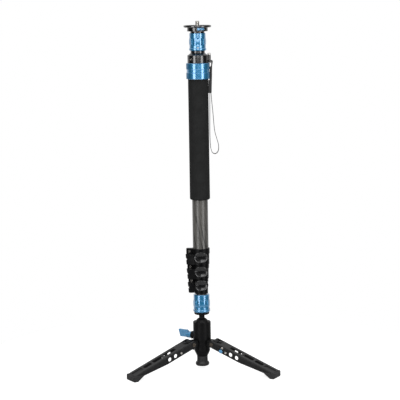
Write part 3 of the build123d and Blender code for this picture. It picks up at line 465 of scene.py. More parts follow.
def editing(piece, mode="VERT"):
    chosen(piece)
    bpy.ops.object.mode_set(mode="EDIT")
    bpy.ops.mesh.select_mode(type=mode)
    bpy.ops.mesh.select_all(action="DESELECT")


def editingAll(piece, mode="VERT"):
    editing(piece, mode)
    bpy.ops.mesh.select_all(action="SELECT")


def done():
    bpy.ops.object.mode_set(mode="OBJECT")


def pick(piece, kind, test):
    # selects the verts, edges or faces that pass the test, in edit mode
    shape = bmesh.from_edit_mesh(piece.data)
    for part in getattr(shape, kind):
        part.select_set(test(part))
    shape.select_flush_mode()
    bmesh.update_edit_mesh(piece.data)


sameSpot = 0.002  # points nearer than this are one


def cleaned(piece):
    editingAll(piece)
    bpy.ops.mesh.remove_doubles(threshold=sameSpot * mm)
    bpy.ops.mesh.normals_make_consistent(inside=False)
    done()


def soften(piece, width, segments=3, angle=32):
    chosen(piece)
    bpy.ops.object.shade_smooth()
    edges = piece.modifiers.new("edges", "BEVEL")
    edges.width = width * mm
    edges.segments = segments
    edges.limit_method = "ANGLE"
    edges.angle_limit = math.radians(angle)
    edges.use_clamp_overlap = True
    bpy.ops.object.modifier_apply(modifier=edges.name)
    level = piece.modifiers.new("level", "WEIGHTED_NORMAL")  # wide faces stay flat beside their soft edges
    level.mode = "FACE_AREA"
    level.weight = 100
    bpy.ops.object.modifier_apply(modifier=level.name)


def combine(piece, other, operation="DIFFERENCE"):
    chosen(piece)
    cut = piece.modifiers.new("cut", "BOOLEAN")
    cut.operation = operation
    cut.solver = "EXACT"
    cut.object = other
    bpy.ops.object.modifier_apply(modifier=cut.name)
    bpy.data.objects.remove(other)
    return piece


def joined(pieces):
    bpy.ops.object.select_all(action="DESELECT")
    for piece in pieces:
        piece.select_set(True)
    bpy.context.view_layer.objects.active = pieces[0]
    bpy.ops.object.join()
    return pieces[0]


def turnedPiece(name, outline, steps=128):
    # the outline is drawn in a half plane, then spun about the pole
    points = [(poleX + out * mm, poleY, up * mm) for out, up in outline]
    piece = drawn(name, points, [(i, i + 1) for i in range(len(points) - 1)])
    editingAll(piece)
    bpy.ops.mesh.spin(steps=steps, angle=math.tau, center=poleFoot, axis=(0, 0, 1))
    done()
    cleaned(piece)
    return piece


def plate(name, outline, axis, start, depth):
    # a flat outline filled and extruded along X, Y or Z
    ways = {"X": (1, 2, 0), "Y": (0, 2, 1), "Z": (0, 1, 2)}
    first, second, third = ways[axis]
    points = []
    for a, b in outline:
        point = [0, 0, 0]
        point[first], point[second], point[third] = a * mm, b * mm, start * mm
        points.append(point)
    piece = drawn(name, points, [(i, (i + 1) % len(points)) for i in range(len(points))])
    editingAll(piece)
    bpy.ops.mesh.edge_face_add()
    push = [0, 0, 0]
    push[third] = depth * mm
    bpy.ops.mesh.extrude_region_move(TRANSFORM_OT_translate={"value": push})
    done()
    cleaned(piece)
    return piece


def barrel(name, start, end, radius, sides=48):
    start, end = Vector(start) * mm, Vector(end) * mm
    along = end - start
    bpy.ops.object.select_all(action="DESELECT")
    bpy.ops.mesh.primitive_cylinder_add(vertices=sides, radius=radius * mm, depth=along.length)
    piece = bpy.context.object
    piece.name = name
    turn = along.to_track_quat("Z", "Y").to_matrix().to_4x4()
    piece.data.transform(Matrix.Translation((start + end) / 2) @ turn)
    return piece


def upright(name, x, y, low, high, radius, sides=32):
    return barrel(name, (x, y, low), (x, y, high), radius, sides)


def acrossHole(x, z, half, radius, sides=32):
    # a cutter through a piece that is drawn along X
    return barrel("acrossHole", (x, -half, z), (x, half, z), radius, sides)


def brick(name, low, high):
    low, high = Vector(low) * mm, Vector(high) * mm
    bpy.ops.object.select_all(action="DESELECT")
    bpy.ops.mesh.primitive_cube_add(size=1)
    piece = bpy.context.object
    piece.name = name
    size = high - low
    piece.data.transform(Matrix.Translation((low + high) / 2) @ Matrix.Diagonal((*size, 1)))
    return piece


def roundedSlot(name, low, high, radius, along):
    # a box cutter with its upright edges rounded
    piece = brick(name, low, high)
    editing(piece, "EDGE")
    pick(piece, "edges", lambda e: abs((e.verts[0].co - e.verts[1].co).normalized()[along]) > 0.9)
    bpy.ops.mesh.bevel(offset=radius * mm, segments=6, affect="EDGES")
    done()
    return piece


def polar(out, degrees, up=0.0):
    turn = math.radians(degrees)
    return (midX + out * math.cos(turn), midY + out * math.sin(turn), up)


def arc(x, z, radius, start, end, steps):
    # a round stretch of an outline, with both its ends
    turns = [math.radians(start + (end - start) * i / steps) for i in range(steps + 1)]
    return [(x + radius * math.cos(turn), z + radius * math.sin(turn)) for turn in turns]


def turnedAway(piece, degrees, lift=0.0):
    # drawn along X from the origin, then turned to its side of the pole
    turn = Matrix.Rotation(math.radians(degrees), 4, "Z")
    piece.data.transform(Matrix.Translation((poleX, poleY, lift * mm)) @ turn)
    return piece


def copied(piece, name):
    return place(name, piece.data.copy())


def scaleRound(piece, factor, test):
    # draws the chosen points towards the pole or away from it
    editing(piece)
    pick(piece, "verts", test)
    bpy.ops.transform.resize(value=(factor, factor, 1), center_override=poleFoot)
    done()


def fromPole(point):
    return math.hypot(point.x - poleX, point.y - poleY) / mm


def bearing(point):
    return math.degrees(math.atan2(point.y - poleY, point.x - poleX)) % 360


# the top: stud, wheel, housing, plate and pad


stud = {"crest": 4.7625, "root": 4.1, "pitch": 1.5875, "bevel": 0.8, "neck": 4.2, "threadSteps": 36}


def makeStud():
    low, high = span("mounting_stud")
    faceLevel = span("camera_plate")[1]
    body = [(0, low), (stud["neck"], low), (stud["neck"], faceLevel), (stud["root"], faceLevel + 0.2)]
    body += [(stud["root"], high - stud["bevel"]), (stud["root"] - 0.6, high), (0, high)]
    core = turnedPiece("mountingStud", body, 64)
    turns = math.floor((high - faceLevel - stud["bevel"]) / stud["pitch"])
    inner, outer, pitch = stud["root"] - 0.15, stud["crest"], stud["pitch"]
    ridge = [(inner, 0.05), (outer, pitch * 0.42), (outer, pitch * 0.58), (inner, pitch - 0.05)]
    start = faceLevel + 0.15
    corners = [(poleX + out * mm, poleY, (start + up) * mm) for out, up in ridge]
    thread = drawn("thread", corners, [], [(0, 1, 2, 3)])
    editingAll(thread)
    steps = stud["threadSteps"]
    for _ in range(turns * steps):
        bpy.ops.mesh.extrude_region()
        bpy.ops.transform.rotate(
            value=-math.radians(360 / steps), orient_axis="Z", center_override=poleFoot, orient_type="GLOBAL"
        )
        bpy.ops.transform.translate(value=(0, 0, pitch * mm / steps))
    done()
    cleaned(thread)
    piece = joined([core, thread])
    soften(piece, 0.12, 2, 40)
    return give(piece, "stud", ["mounting_stud"], "steel")


wheel = {"teeth": 72, "toothDepth": 0.5, "bevel": 0.5, "bore": 4.3}


def makeWheel():
    low, high = span("stud_wheel")
    outer = outerOf("stud_wheel")
    edge = wheel["bevel"]
    outline = [(wheel["bore"], low), (outer - edge, low), (outer, low + edge), (outer, high - edge)]
    outline += [(outer - edge, high), (wheel["bore"], high), (wheel["bore"], low)]
    piece = turnedPiece("studWheel", outline, wheel["teeth"] * 4)
    step = 360 / (wheel["teeth"] * 4)
    scaleRound(
        piece, 1 - wheel["toothDepth"] / outer,
        lambda v: fromPole(v.co) > outer - 0.1 and round(bearing(v.co) / step) % 4 in (0, 1),
    )
    soften(piece, 0.1, 1, 50)
    return give(piece, "stud", ["stud_wheel"], "blue_anodised")


housing = {
    "wall": 1.3, "neck": 16.0, "floor": 1.8, "windowStart": -94, "windowTurn": 46, "windows": 3, "bore": 4.1,
    "rise": 4.0,
}


def makeHousing():
    neckLow = span("wheel_housing")[0]
    low, high = span("top_collar")[1] + housing["rise"], span("wheel_housing")[1]
    outer = outerOf("wheel_housing")
    floorTop, bore, neck = low + housing["floor"], housing["bore"], housing["neck"]
    base = [(bore, neckLow), (neck, neckLow), (neck, low - 0.6), (neck + 0.6, low), (outer, low)]
    base += [(outer, floorTop), (bore, floorTop), (bore, neckLow)]
    piece = turnedPiece("wheelHousing", base, 180)
    wall = turnedPiece("wall", [(outer, floorTop), (outer, high)], 180)
    editing(wall, "FACE")

    def inWindow(face):
        turn = (bearing(face.calc_center_median()) - housing["windowStart"]) % (360 / housing["windows"])
        return turn < housing["windowTurn"]

    pick(wall, "faces", inWindow)
    bpy.ops.mesh.delete(type="FACE")
    bpy.ops.mesh.select_all(action="SELECT")
    bpy.ops.mesh.normals_make_consistent(inside=False)
    done()
    thick = wall.modifiers.new("thick", "SOLIDIFY")
    thick.thickness = housing["wall"] * mm
    face = wall.data.polygons[0]
    facesOut = face.normal.dot(face.center - Vector(poleFoot)) > 0
    thick.offset = -1 if facesOut else 1  # the wall grows inwards
    bpy.ops.object.modifier_apply(modifier=thick.name)
    cleaned(wall)
    soften(piece, 0.3)
    soften(wall, 0.25, 2)
    piece = joined([piece, wall])
    return give(piece, "section_1", ["wheel_housing"], "black_anodised")


camPlate = {
    "bevel": 1.6, "padOut": 28.5, "padIn": 8.0, "padDeep": 1.0, "bore": 4.35, "ridge": 0.22, "ridges": 12,
}


def makePlate():
    low, high = span("camera_plate")
    outer = outerOf("camera_plate")
    bore, lip, inner = camPlate["bore"], camPlate["padOut"], camPlate["padIn"]
    base, valley = high - camPlate["padDeep"], high - camPlate["ridge"]
    outline = [(bore, low), (outer - 2.4, low), (outer - 1.2, low + 0.5), (outer, low + camPlate["bevel"])]
    outline += [(outer, high - 0.7), (outer - 0.7, high), (lip, high), (lip, base), (inner, base)]
    outline += [(inner, high), (bore + 0.5, high), (bore, high - 0.5), (bore, low)]
    piece = turnedPiece("cameraPlate", outline, 160)
    soften(piece, 0.25)
    give(piece, "section_1", ["camera_plate"], "black_anodised")
    step = (lip - inner - 1.0) / camPlate["ridges"]
    outline = [(inner + 0.1, base), (inner + 0.1, high - 0.1)]
    for i in range(camPlate["ridges"]):  # fine rings, which grip a camera's base
        start = inner + 0.5 + i * step
        outline += [(start, valley), (start + step * 0.25, high), (start + step * 0.75, high)]
    outline += [(lip - 0.4, valley), (lip - 0.1, base), (inner + 0.1, base)]
    pad = turnedPiece("platePad", outline, 128)
    soften(pad, 0.08, 2, 25)
    return give(pad, "section_1", ["plate_pad"], "grip_rubber")


makeStud()
makeWheel()
makeHousing()
makePlate()
print("stud, wheel, housing and plate are made")


# the two blue collars


collar = {
    "wall": 18.4, "bulge": 19.2, "flange": 19.6, "flangeHigh": 5.5, "lip": 7.0, "bulgeHigh": 16.0,
    "flutes": 10, "fluteDeep": 0.95, "fluteHalf": 8, "stepsPerFlute": 24, "rows": 12,
}


def makeCollar(name, node, bore, body):
    low, high = span(node)
    wall, bulge, flange = collar["wall"], collar["bulge"], collar["flange"]
    flangeTop = low + collar["flangeHigh"]
    bulgeLow = flangeTop + collar["lip"]
    bulgeHigh = bulgeLow + collar["bulgeHigh"]
    outline = [(bore, low), (wall - 0.6, low), (wall, low + 0.5), (flange - 0.3, low + 1.7)]
    outline += [(flange, low + 2.3), (flange, flangeTop - 0.7), (flange - 0.4, flangeTop - 0.1)]
    outline += [(wall, flangeTop + 0.5), (wall, bulgeLow - 0.9)]
    for i in range(collar["rows"] + 1):
        up = i / collar["rows"]
        swell = math.sin(math.pi * up) ** 0.5 if 0 < up < 1 else 0.0
        outline.append((wall + (bulge - wall) * swell, bulgeLow + up * collar["bulgeHigh"]))
    outline += [(wall, bulgeHigh + 0.9), (wall, high - 0.6), (wall - 0.6, high), (bore, high), (bore, low)]
    steps = collar["flutes"] * collar["stepsPerFlute"]
    piece = turnedPiece(name, outline, steps)
    turnStep = 360 / steps
    half = collar["fluteHalf"]

    def phase(v):
        # steps from the middle of the nearest flute
        count = collar["stepsPerFlute"]
        return abs(round(bearing(v.co) / turnStep) % count - count // 2)

    def onBulge(v):
        return bulgeLow + 0.4 < v.co.z / mm < bulgeHigh - 0.4 and fromPole(v.co) > wall

    for k in range(half + 1):
        deep = collar["fluteDeep"] * math.cos(math.pi / 2 * k / (half + 0.5)) ** 0.8
        scaleRound(piece, 1 - deep / bulge, lambda v: onBulge(v) and phase(v) == k)
    soften(piece, 0.22, 2, 38)
    return give(piece, body, [node], "blue_anodised")


makeCollar("topCollar", "top_collar", 4.1, "section_1")
makeCollar("lowerCollar", "lower_collar", 12.0, "section_4")
print("collars are made")


# grip collar and grip


grip = {
    "collar": 26.7, "bore": 18.1, "band": 14.3, "groove": 25.9,
    "knurlDeep": 0.42, "knurlSteps": 264, "knurlRows": 22,
    "edge": 0.9, "foamBore": 18.05, "round": 3.5, "topRound": 1.2, "waist": 0.15, "rows": 40,
}


def makeGripCollar():
    low, high = span("grip_collar")
    band, outer, groove = grip["band"], grip["collar"], grip["groove"]

    def bandRows(start, end):
        rows = grip["knurlRows"]
        return [(outer, start + (end - start) * i / rows) for i in range(rows + 1)]

    edge = grip["edge"]
    outline = [(grip["bore"], low), (outer - 0.7, low), (outer - 0.15, low + 0.45)]
    outline += bandRows(low + edge, low + band - edge)
    outline += [(outer - 0.15, low + band - 0.45), (groove, low + band), (groove, high - band)]
    outline += [(outer - 0.15, high - band + 0.45)] + bandRows(high - band + edge, high - edge)
    outline += [(outer - 0.15, high - 0.45), (outer - 0.7, high), (grip["bore"], high), (grip["bore"], low)]
    piece = turnedPiece("gripCollar", outline, grip["knurlSteps"])
    turnStep = 360 / grip["knurlSteps"]
    rowStep = (band - 2 * edge) / grip["knurlRows"]

    def pressedIn(v):
        up = v.co.z / mm
        for start, end in ((low + edge, low + band - edge), (high - band + edge, high - edge)):
            if start - 0.01 < up < end + 0.01 and fromPole(v.co) > outer - 0.05:
                return (round((up - start) / rowStep) + round(bearing(v.co) / turnStep)) % 2 == 0
        return False

    scaleRound(piece, 1 - grip["knurlDeep"] / outer, pressedIn)
    chosen(piece)
    bpy.ops.object.shade_smooth_by_angle(angle=math.radians(28))
    return give(piece, "section_1", ["grip_collar"], "blue_anodised")


def makeGrip():
    low, high = span("grip_sleeve")
    radius, bore = outerOf("grip_sleeve"), grip["foamBore"]
    rounded, small, rows = grip["round"], grip["topRound"], grip["rows"]
    outline = [(bore, low)] + arc(radius - rounded, low + rounded, rounded, -90, 0, 8)
    for i in range(1, rows):
        up = i / rows
        out = radius - grip["waist"] * math.sin(math.pi * up)
        outline.append((out, low + rounded + (high - low - rounded - small) * up))
    outline += arc(radius - small, high - small, small, 0, 90, 4) + [(bore, high), (bore, low)]
    piece = turnedPiece("gripSleeve", outline, 128)
    chosen(piece)
    bpy.ops.object.shade_smooth_by_angle(angle=math.radians(40))
    give(piece, "section_1", ["grip_sleeve"], "grip_rubber")
    return piece


makeGripCollar()
makeGrip()
print("grip is made")


# the shoulder casting with the strap's lug


shoulder = {
    "radius": 23.6, "slope": 4.5, "neck": 16.2, "height": 18.0, "lugOut": 25.6, "lug": 3.9, "pinFoot": 1.6,
    "slotHigh": 4.2, "slotDrop": 11.6, "slotIn": 21.2, "pin": 1.55, "pinHead": 3.45,
    "tubeBore": 18.05, "tubeTop": 11.0, "rodBore": 4.1,
    "screwTurn": -132, "screw": 2.05, "screwReach": (19, 27),
}


def makeShoulder():
    low, high = span("shoulder_cap")
    top = low + shoulder["height"]
    neck, wide, bore, slope = (shoulder[part] for part in ("neck", "radius", "tubeBore", "slope"))
    tubeTop = low + shoulder["tubeTop"]
    outline = [(bore, low), (wide - 0.4, low), (wide, low + 0.4), (wide, top - 1.2)]
    outline += [(wide - 0.35, top - 0.35), (wide - 1.2, top), (neck + 0.5, top + slope - 0.3)]
    outline += [(neck, top + slope + 0.3), (neck, high)]
    outline += [(shoulder["rodBore"], high), (shoulder["rodBore"], tubeTop), (bore, tubeTop), (bore, low)]
    piece = turnedPiece("shoulderCap", outline, 128)
    lug, slotIn = shoulder["lug"], midX + shoulder["slotIn"]
    x, y = midX + shoulder["lugOut"], midY
    post = upright("post", x, y, low, top, lug, 48)
    web = brick("web", (x - 6, y - lug + 0.02, low + 0.01), (x, y + lug - 0.02, top - 0.01))
    combine(post, web, "UNION")
    combine(piece, post, "UNION")
    slotTop = top - shoulder["slotDrop"]
    slotLow = slotTop - shoulder["slotHigh"]
    combine(piece, brick("gap", (slotIn, y - lug - 2, slotLow), (x + 9, y + lug + 2, slotTop)))
    combine(piece, upright("pinHole", x, y, low + shoulder["pinFoot"], top + 2, shoulder["pin"]))
    combine(piece, upright("headHole", x, y, top, top + 8, shoulder["pinHead"]))
    start, end = (polar(reach, shoulder["screwTurn"], (low + top) / 2) for reach in shoulder["screwReach"])
    combine(piece, barrel("screwHole", start, end, shoulder["screw"], 24))
    soften(piece, 0.3, 2, 36)
    return give(piece, "section_1", ["shoulder_cap"], "black_anodised")


makeShoulder()
print("shoulder is made")


# the wrist strap: the same route as its solid, from the tab down, round and back


strap = {
    "width": 8.0,
    "thickness": 1.2,
    "edge": 0.35,
    "length": 0.2866,
    # out from the pole's middle, and up from the tab's lower end
    "route": [
        (28.8, 0), (30.4, -22.5), (32.8, -47.0), (34.2, -71.0), (36.2, -89.5), (40.8, -105.0), (44.8, -119.5),
        (44.2, -132.0), (38.2, -139.2), (30.4, -137.6), (26.5, -128.0), (25.2, -111.5), (24.8, -88.0),
        (25.2, -62.0), (25.6, -37.0), (25.9, -16.0), (26.1, 0),
    ],
}


def strapPath():
    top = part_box("strap_tab")[0].z
    curve = bpy.data.curves.new("strapRoute", "CURVE")
    curve.dimensions = "3D"
    curve.resolution_u = 10
    spline = curve.splines.new("NURBS")
    spline.points.add(len(strap["route"]) - 1)
    for point, (out, up) in zip(spline.points, strap["route"]):
        point.co = (poleX + out * mm, poleY, top + up * mm, 1)
    spline.order_u = 3
    spline.use_endpoint_u = True
    line = bpy.data.objects.new("strapRoute", curve)
    bpy.context.scene.collection.objects.link(line)
    points = [vertex.co.copy() for vertex in bpy.data.meshes.new_from_object(line).vertices]
    bpy.data.objects.remove(line)
    return points


def makeStrap():
    path = strapPath()
    half, thick, edge = strap["width"] / 2, strap["thickness"] / 2, strap["edge"]
    # the section: across the band, and out of its face
    section = [(-half, -thick + edge), (-half + edge, -thick), (half - edge, -thick), (half, -thick + edge)]
    section += [(half, thick - edge), (half - edge, thick), (-half + edge, thick), (-half, thick - edge)]
    points, lengths, along = [], [], 0
    for i, spot in enumerate(path):
        ahead = (path[min(i + 1, len(path) - 1)] - path[max(i - 1, 0)]).normalized()
        out = ahead.cross(Vector((0, 1, 0)))
        if i:
            along += (spot - path[i - 1]).length
        lengths.append(along / mm)
        points += [spot + Vector((0, across * mm, 0)) + out * (proud * mm) for across, proud in section]
    count = len(section)
    faces = [tuple(range(count))]
    for i in range(len(path) - 1):
        for k in range(count):
            a, b = i * count + k, i * count + (k + 1) % count
            faces.append((a, a + count, b + count, b))
    faces.append(tuple(reversed(range(len(points) - count, len(points)))))
    band = drawn("wristStrap", points, [], faces)
    chart = band.data.uv_layers.new(name="along")
    for loop in band.data.loops:
        ring, k = divmod(loop.vertex_index, count)
        chart.data[loop.index].uv = (lengths[ring], section[k][0] + section[k][1])
    editingAll(band)
    bpy.ops.mesh.normals_make_consistent(inside=False)
    done()
    bpy.ops.object.shade_smooth_by_angle(angle=math.radians(40))
    give(band, "section_1", ["wrist_strap"], "webbing")
    return band


makeStrap()
print("strap is hung")


# the three flip locks


lever = {
    "gap": 0.4, "thick": 4.0, "pivotReach": 8.5, "pivotDrop": 9.0, "pivot": 6.5, "high": 23.5,
    "innerStart": 203, "outerStart": 228, "barEnd": 267, "barLow": 0.7, "taper": 2.0,
    # each a share of the oval, and its drop from the face
    "padEdge": ((1, 1.1), (0.985, 0.45), (0.955, 0.08), (0.93, 0)),
    "thumb": -1.0, "thumbRise": 5.0, "halfWide": 17.7, "halfHigh": 12.6, "sides": 96,
    "rim": 0.9, "dish": 3.2, "rings": 9, "edge": 0.6, "pinHole": 2.05, "eyeHalf": 2.4, "eyeSide": 4.2,
}


def ovalSolid(name, rings, inner, level):
    # each ring is a share of the pad's oval and its height over the lever's inner face
    wide, high, count = lever["halfWide"], lever["halfHigh"], lever["rings"]
    bpy.ops.object.select_all(action="DESELECT")
    bpy.ops.mesh.primitive_circle_add(vertices=lever["sides"], radius=mm, fill_type="NGON")
    piece = bpy.context.object
    piece.name = name
    lastShare, lastDeep = rings[0]
    centre = Vector((poleX + lever["thumb"] * mm, poleY, level * mm))
    shape = Matrix.Diagonal((wide * lastShare, 1, high * lastShare, 1))
    upturned = Matrix.Rotation(math.radians(90), 4, "X")
    piece.data.transform(Matrix.Translation(centre - Vector((0, lastDeep * mm, 0))) @ shape @ upturned)
    editingAll(piece, "FACE")
    for share, deep in rings[1:]:
        bpy.ops.mesh.extrude_region()
        bpy.ops.transform.translate(value=(0, (lastDeep - deep) * mm, 0))
        grow = share / lastShare
        bpy.ops.transform.resize(value=(grow, 1, grow), center_override=centre)
        lastShare, lastDeep = share, deep
    done()
    for point in piece.data.vertices:  # bent round the pole, with its outline kept as seen from the front
        turn = math.asin((point.co.x - poleX) / ((inner + lever["thick"]) * mm))
        out = inner * mm + (poleY - point.co.y)
        point.co.x, point.co.y = poleX + out * math.sin(turn), poleY - out * math.cos(turn)
    cleaned(piece)
    return piece


def thumbPad(inner, level):
    # from the middle of the back out to the edge, over the rim and down into the dish
    thick, rim, count = lever["thick"], lever["rim"], lever["rings"]
    shares = [k / count for k in range(1, count + 1)]
    edge = [(share, thick - drop) for share, drop in lever["padEdge"]] + [(rim + 0.01, thick - 0.05)]
    dish = [(rim * share, thick - lever["dish"] * (1 - share ** 2)) for share in shares]
    pad = ovalSolid("pad", [(share, 0) for share in shares] + edge + dish[::-1], inner, level)
    hollow = ovalSolid("hollow", dish + [(rim, thick + 3), (rim / count, thick + 3)], inner, level)
    return pad, hollow


def makeLever(number):
    node = f"lock_lever_{number}"
    band = outerOf(f"lock_clamp_{number}")
    inner = band + lever["gap"]
    outer = inner + lever["thick"] - lever["barLow"]
    low = span(node)[0]
    middle = low + lever["high"] / 2
    pivotX, pivotY = -band - lever["pivotReach"], -lever["pivotDrop"]
    plan = arc(pivotX, pivotY, lever["pivot"], 90, 270, 20)
    plan += arc(0, 0, outer, lever["outerStart"], lever["barEnd"], 14)
    plan += arc(0, 0, inner, lever["barEnd"], lever["innerStart"], 18)
    plan = [(midX + x, midY + y) for x, y in plan]
    bar = plate(f"lever{number}", plan, "Z", low, lever["high"])
    editing(bar)
    leftEdge = midX + pivotX
    pick(bar, "verts", lambda v: v.co.z / mm < low + 0.1 and v.co.x / mm < leftEdge - 0.3 * lever["pivot"])
    bpy.ops.transform.translate(value=(lever["taper"] * mm, 0, 0))  # the block leans in towards its foot
    done()
    pad, hollow = thumbPad(inner, middle + lever["thumbRise"])
    combine(bar, hollow)
    x, y, side, half = leftEdge, midY + pivotY, lever["eyeSide"], lever["eyeHalf"]
    combine(bar, brick("eyeSlot", (x - 13, y - side, middle - half), (x + side, y + 13, middle + half)))
    combine(bar, upright("pinHole", x, y, low - 5, low + 40, lever["pinHole"], 24))
    soften(bar, lever["edge"], 3, 34)
    chosen(pad)
    bpy.ops.object.shade_smooth()
    coated(bar, "hub_black")
    coated(pad, "dish_black")
    bar = joined([bar, pad])
    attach(bar, f"lever_{number}")
    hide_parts(node)


clampEdge = 0.45


def makeClamp(number):
    # the solid's own form with its corners broken
    node = f"lock_clamp_{number}"
    piece = place(f"clamp{number}", frame["nodes"][node].data.copy())
    editingAll(piece)
    bpy.ops.mesh.remove_doubles(threshold=sameSpot * mm)
    bpy.ops.mesh.dissolve_limited(angle_limit=math.radians(0.5))
    done()
    soften(piece, clampEdge, 2, 40)
    return give(piece, f"section_{number}", [node], "black_cast", "hub_black")


for number in (1, 2, 3):
    makeLever(number)
    makeClamp(number)
print("locks are made")


# the base: centre foot, hub and ball stem


centreFoot = {
    "neck": 12.4, "neckHigh": 12.5, "flare": 15.9, "flareHigh": 6.5, "round": 4.0,
    "head": 8.05, "headHigh": 7.0, "bolt": 4.05,
}


def makeCentreFoot():
    low, high = span("centre_foot")
    neck, flare, head = centreFoot["neck"], centreFoot["flare"], centreFoot["head"]
    bolt, rounded = centreFoot["bolt"], centreFoot["round"]
    headTop, flareTop = low + centreFoot["headHigh"], low + centreFoot["flareHigh"]
    neckLow = high - centreFoot["neckHigh"]
    outline = [(head, headTop), (head, low + 0.4), (head + 0.4, low)]
    outline += arc(flare - rounded - 0.3, low + rounded, rounded, -90, -8, 8)
    outline += [(flare - 0.05, flareTop - 0.8), (flare, flareTop), (flare - 0.5, flareTop + 0.9)]
    outline += [(neck + 0.5, neckLow - 0.2), (neck, neckLow + 0.7), (neck, high - 0.4), (neck - 0.4, high)]
    outline += [(bolt, high), (bolt, headTop), (head, headTop)]
    piece = turnedPiece("centreFoot", outline, 96)
    soften(piece, 0.2, 2, 40)
    return give(piece, "base", ["centre_foot"], "foot_rubber")


hub = {
    "neck": 12.4, "lower": 18.0, "cone": 12.0, "lowerHigh": 27.0,
    "radius": 20.5, "rimRound": 0.6, "rimIn": 19.4, "ball": 16.08, "ballSink": 6.0,
    "well": 13.08, "wellHigh": 6.08, "bore": 4.05,
    "lugStart": 12.0, "lugHalf": 7.7, "lugHigh": 7.0, "nose": 8.2, "pin": 3.05,
    "boss": 9.0, "bossReach": 27.0, "shaft": 4.08, "knobDrop": 34.8, "knobTurn": 150,
}
hinge = {"reach": 33.0, "level": sum(span("leg_pins")) / 2, "turns": (-30, 90, 210)}


def makeHub():
    low, high = span("hub_body")
    radius, lower, ball = hub["radius"], hub["lower"], hub["ball"]
    coneTop = low + hub["cone"]
    step = coneTop + hub["lowerHigh"]
    ballLevel = high - hub["ballSink"]
    boreTop = span("foot_bolt")[1] + 0.05
    outline = [(0, boreTop), (hub["bore"], boreTop), (hub["bore"], low), (hub["neck"], low)]
    outline += [(lower - 0.4, coneTop - 0.8), (lower - 0.08, coneTop), (lower, coneTop + 0.9)]
    outline += [(lower, step), (radius - 0.5, step), (radius, step + 0.5)]
    rounded, well = hub["rimRound"], hub["well"]
    outline += arc(radius - rounded, high - rounded, rounded, 0, 90, 5) + [(hub["rimIn"], high)]
    outline += arc(0, ballLevel, ball, 16, -math.degrees(math.acos(well / ball)), 14)
    wellLow = outline[-1][1] - hub["wellHigh"]
    outline += [(well, wellLow), (0, wellLow)]
    piece = turnedPiece("hub", outline, 128)
    half, reach, level, start = hub["lugHalf"], hinge["reach"], hinge["level"], hub["lugStart"]
    tuck = math.degrees(math.asin(hub["lugHigh"] / hub["nose"]))
    for degrees in hinge["turns"]:
        side = arc(reach, level, hub["nose"], tuck - 180, 180 - tuck, 28)
        side += [(start, level + hub["lugHigh"]), (start, level - hub["lugHigh"])]
        lug = plate("lug", side, "Y", -half, 2 * half)
        combine(lug, acrossHole(reach, level, half + 2, hub["pin"]))
        combine(piece, turnedAway(lug, degrees), "UNION")
    knobLevel = high - hub["knobDrop"]
    boss = barrel("boss", (start, 0, knobLevel), (hub["bossReach"], 0, knobLevel), hub["boss"], 64)
    combine(piece, turnedAway(boss, hub["knobTurn"]), "UNION")
    shaft = barrel("shaft", (0, 0, knobLevel), (hub["bossReach"] + 3, 0, knobLevel), hub["shaft"], 32)
    combine(piece, turnedAway(shaft, hub["knobTurn"]))
    soften(piece, 0.35, 3, 38)
    return give(piece, "base", ["hub_body"], "black_cast", "hub_black")


stem = {
    "ball": 16.0, "ballEnd": 55, "neck": 6.5, "neckRound": 3.2, "step": 2.0,
    "ring": 17.3, "ringHigh": 5.8, "ringRound": 2.0, "spigot": 10.6,
}


def makeStem():
    low, high = span("ball_stem")
    ballLevel = low + stem["ball"]
    ringTop = span("lower_collar")[0]
    ringLow = ringTop - stem["ringHigh"]
    neck, turn, ring, rounded = stem["neck"], stem["neckRound"], stem["ring"], stem["ringRound"]
    outline = arc(0, ballLevel, stem["ball"], -90, stem["ballEnd"], 40)
    outline += arc(neck + turn, outline[-1][1] + turn, turn, 250, 180, 7)
    outline += arc(neck + stem["step"], ringLow - stem["step"], stem["step"], 180, 90, 5)
    outline += arc(ring - rounded, ringLow + rounded, rounded, -90, 0, 6)
    outline += [(ring, ringTop - 0.5), (ring - 0.5, ringTop)]
    outline += [(stem["spigot"], ringTop), (stem["spigot"], high), (0, high)]
    piece = turnedPiece("ballStem", outline, 96)
    soften(piece, 0.15, 2, 40)
    return give(piece, "ball_stem", ["ball_stem"], "black_anodised", "hub_black")


knob = {
    "start": 27.3, "reach": 38.5, "radius": 7.7, "bore": 4.05, "boreEnd": 33.0,
    "wingReach": 61.2, "rise": 11.5, "drop": 6.0, "slant": 4.0, "thick": 5.2,
    "notch": (33.9, 36.0), "notchFloor": 4.6,
}


def makeKnob():
    level = span("hub_body")[1] - hub["knobDrop"]
    start, reach, radius, rise, drop = (knob[part] for part in ("start", "reach", "radius", "rise", "drop"))
    piece = barrel("wingKnob", (start, 0, 0), (reach, 0, 0), radius, 64)
    root, tip = reach - radius / 2, knob["wingReach"]
    side = [(root, -drop), (tip - knob["slant"] - 0.8, -drop), (tip - knob["slant"], -drop + 1)]
    side += [(tip, rise - 1), (tip - 0.8, rise), (tip - 2 * rise, rise - 0.4), (root, radius - 0.4)]
    wing = plate("wing", side, "Y", -knob["thick"] / 2, knob["thick"])
    combine(piece, wing, "UNION")
    notchLow, notchHigh = knob["notch"]
    combine(piece, brick("notch", (notchLow, -12, knob["notchFloor"]), (notchHigh, 12, 20)))
    combine(piece, barrel("bore", (start - 2, 0, 0), (knob["boreEnd"], 0, 0), knob["bore"], 32))
    soften(piece, 0.6, 3, 34)
    turnedAway(piece, hub["knobTurn"], level)
    return give(piece, "knob", ["lock_knob"], "blue_anodised")


makeCentreFoot()
makeHub()
makeStem()
makeKnob()
print("base, stem and knob are made")


# the legs and their feet, modelled once along X and copied


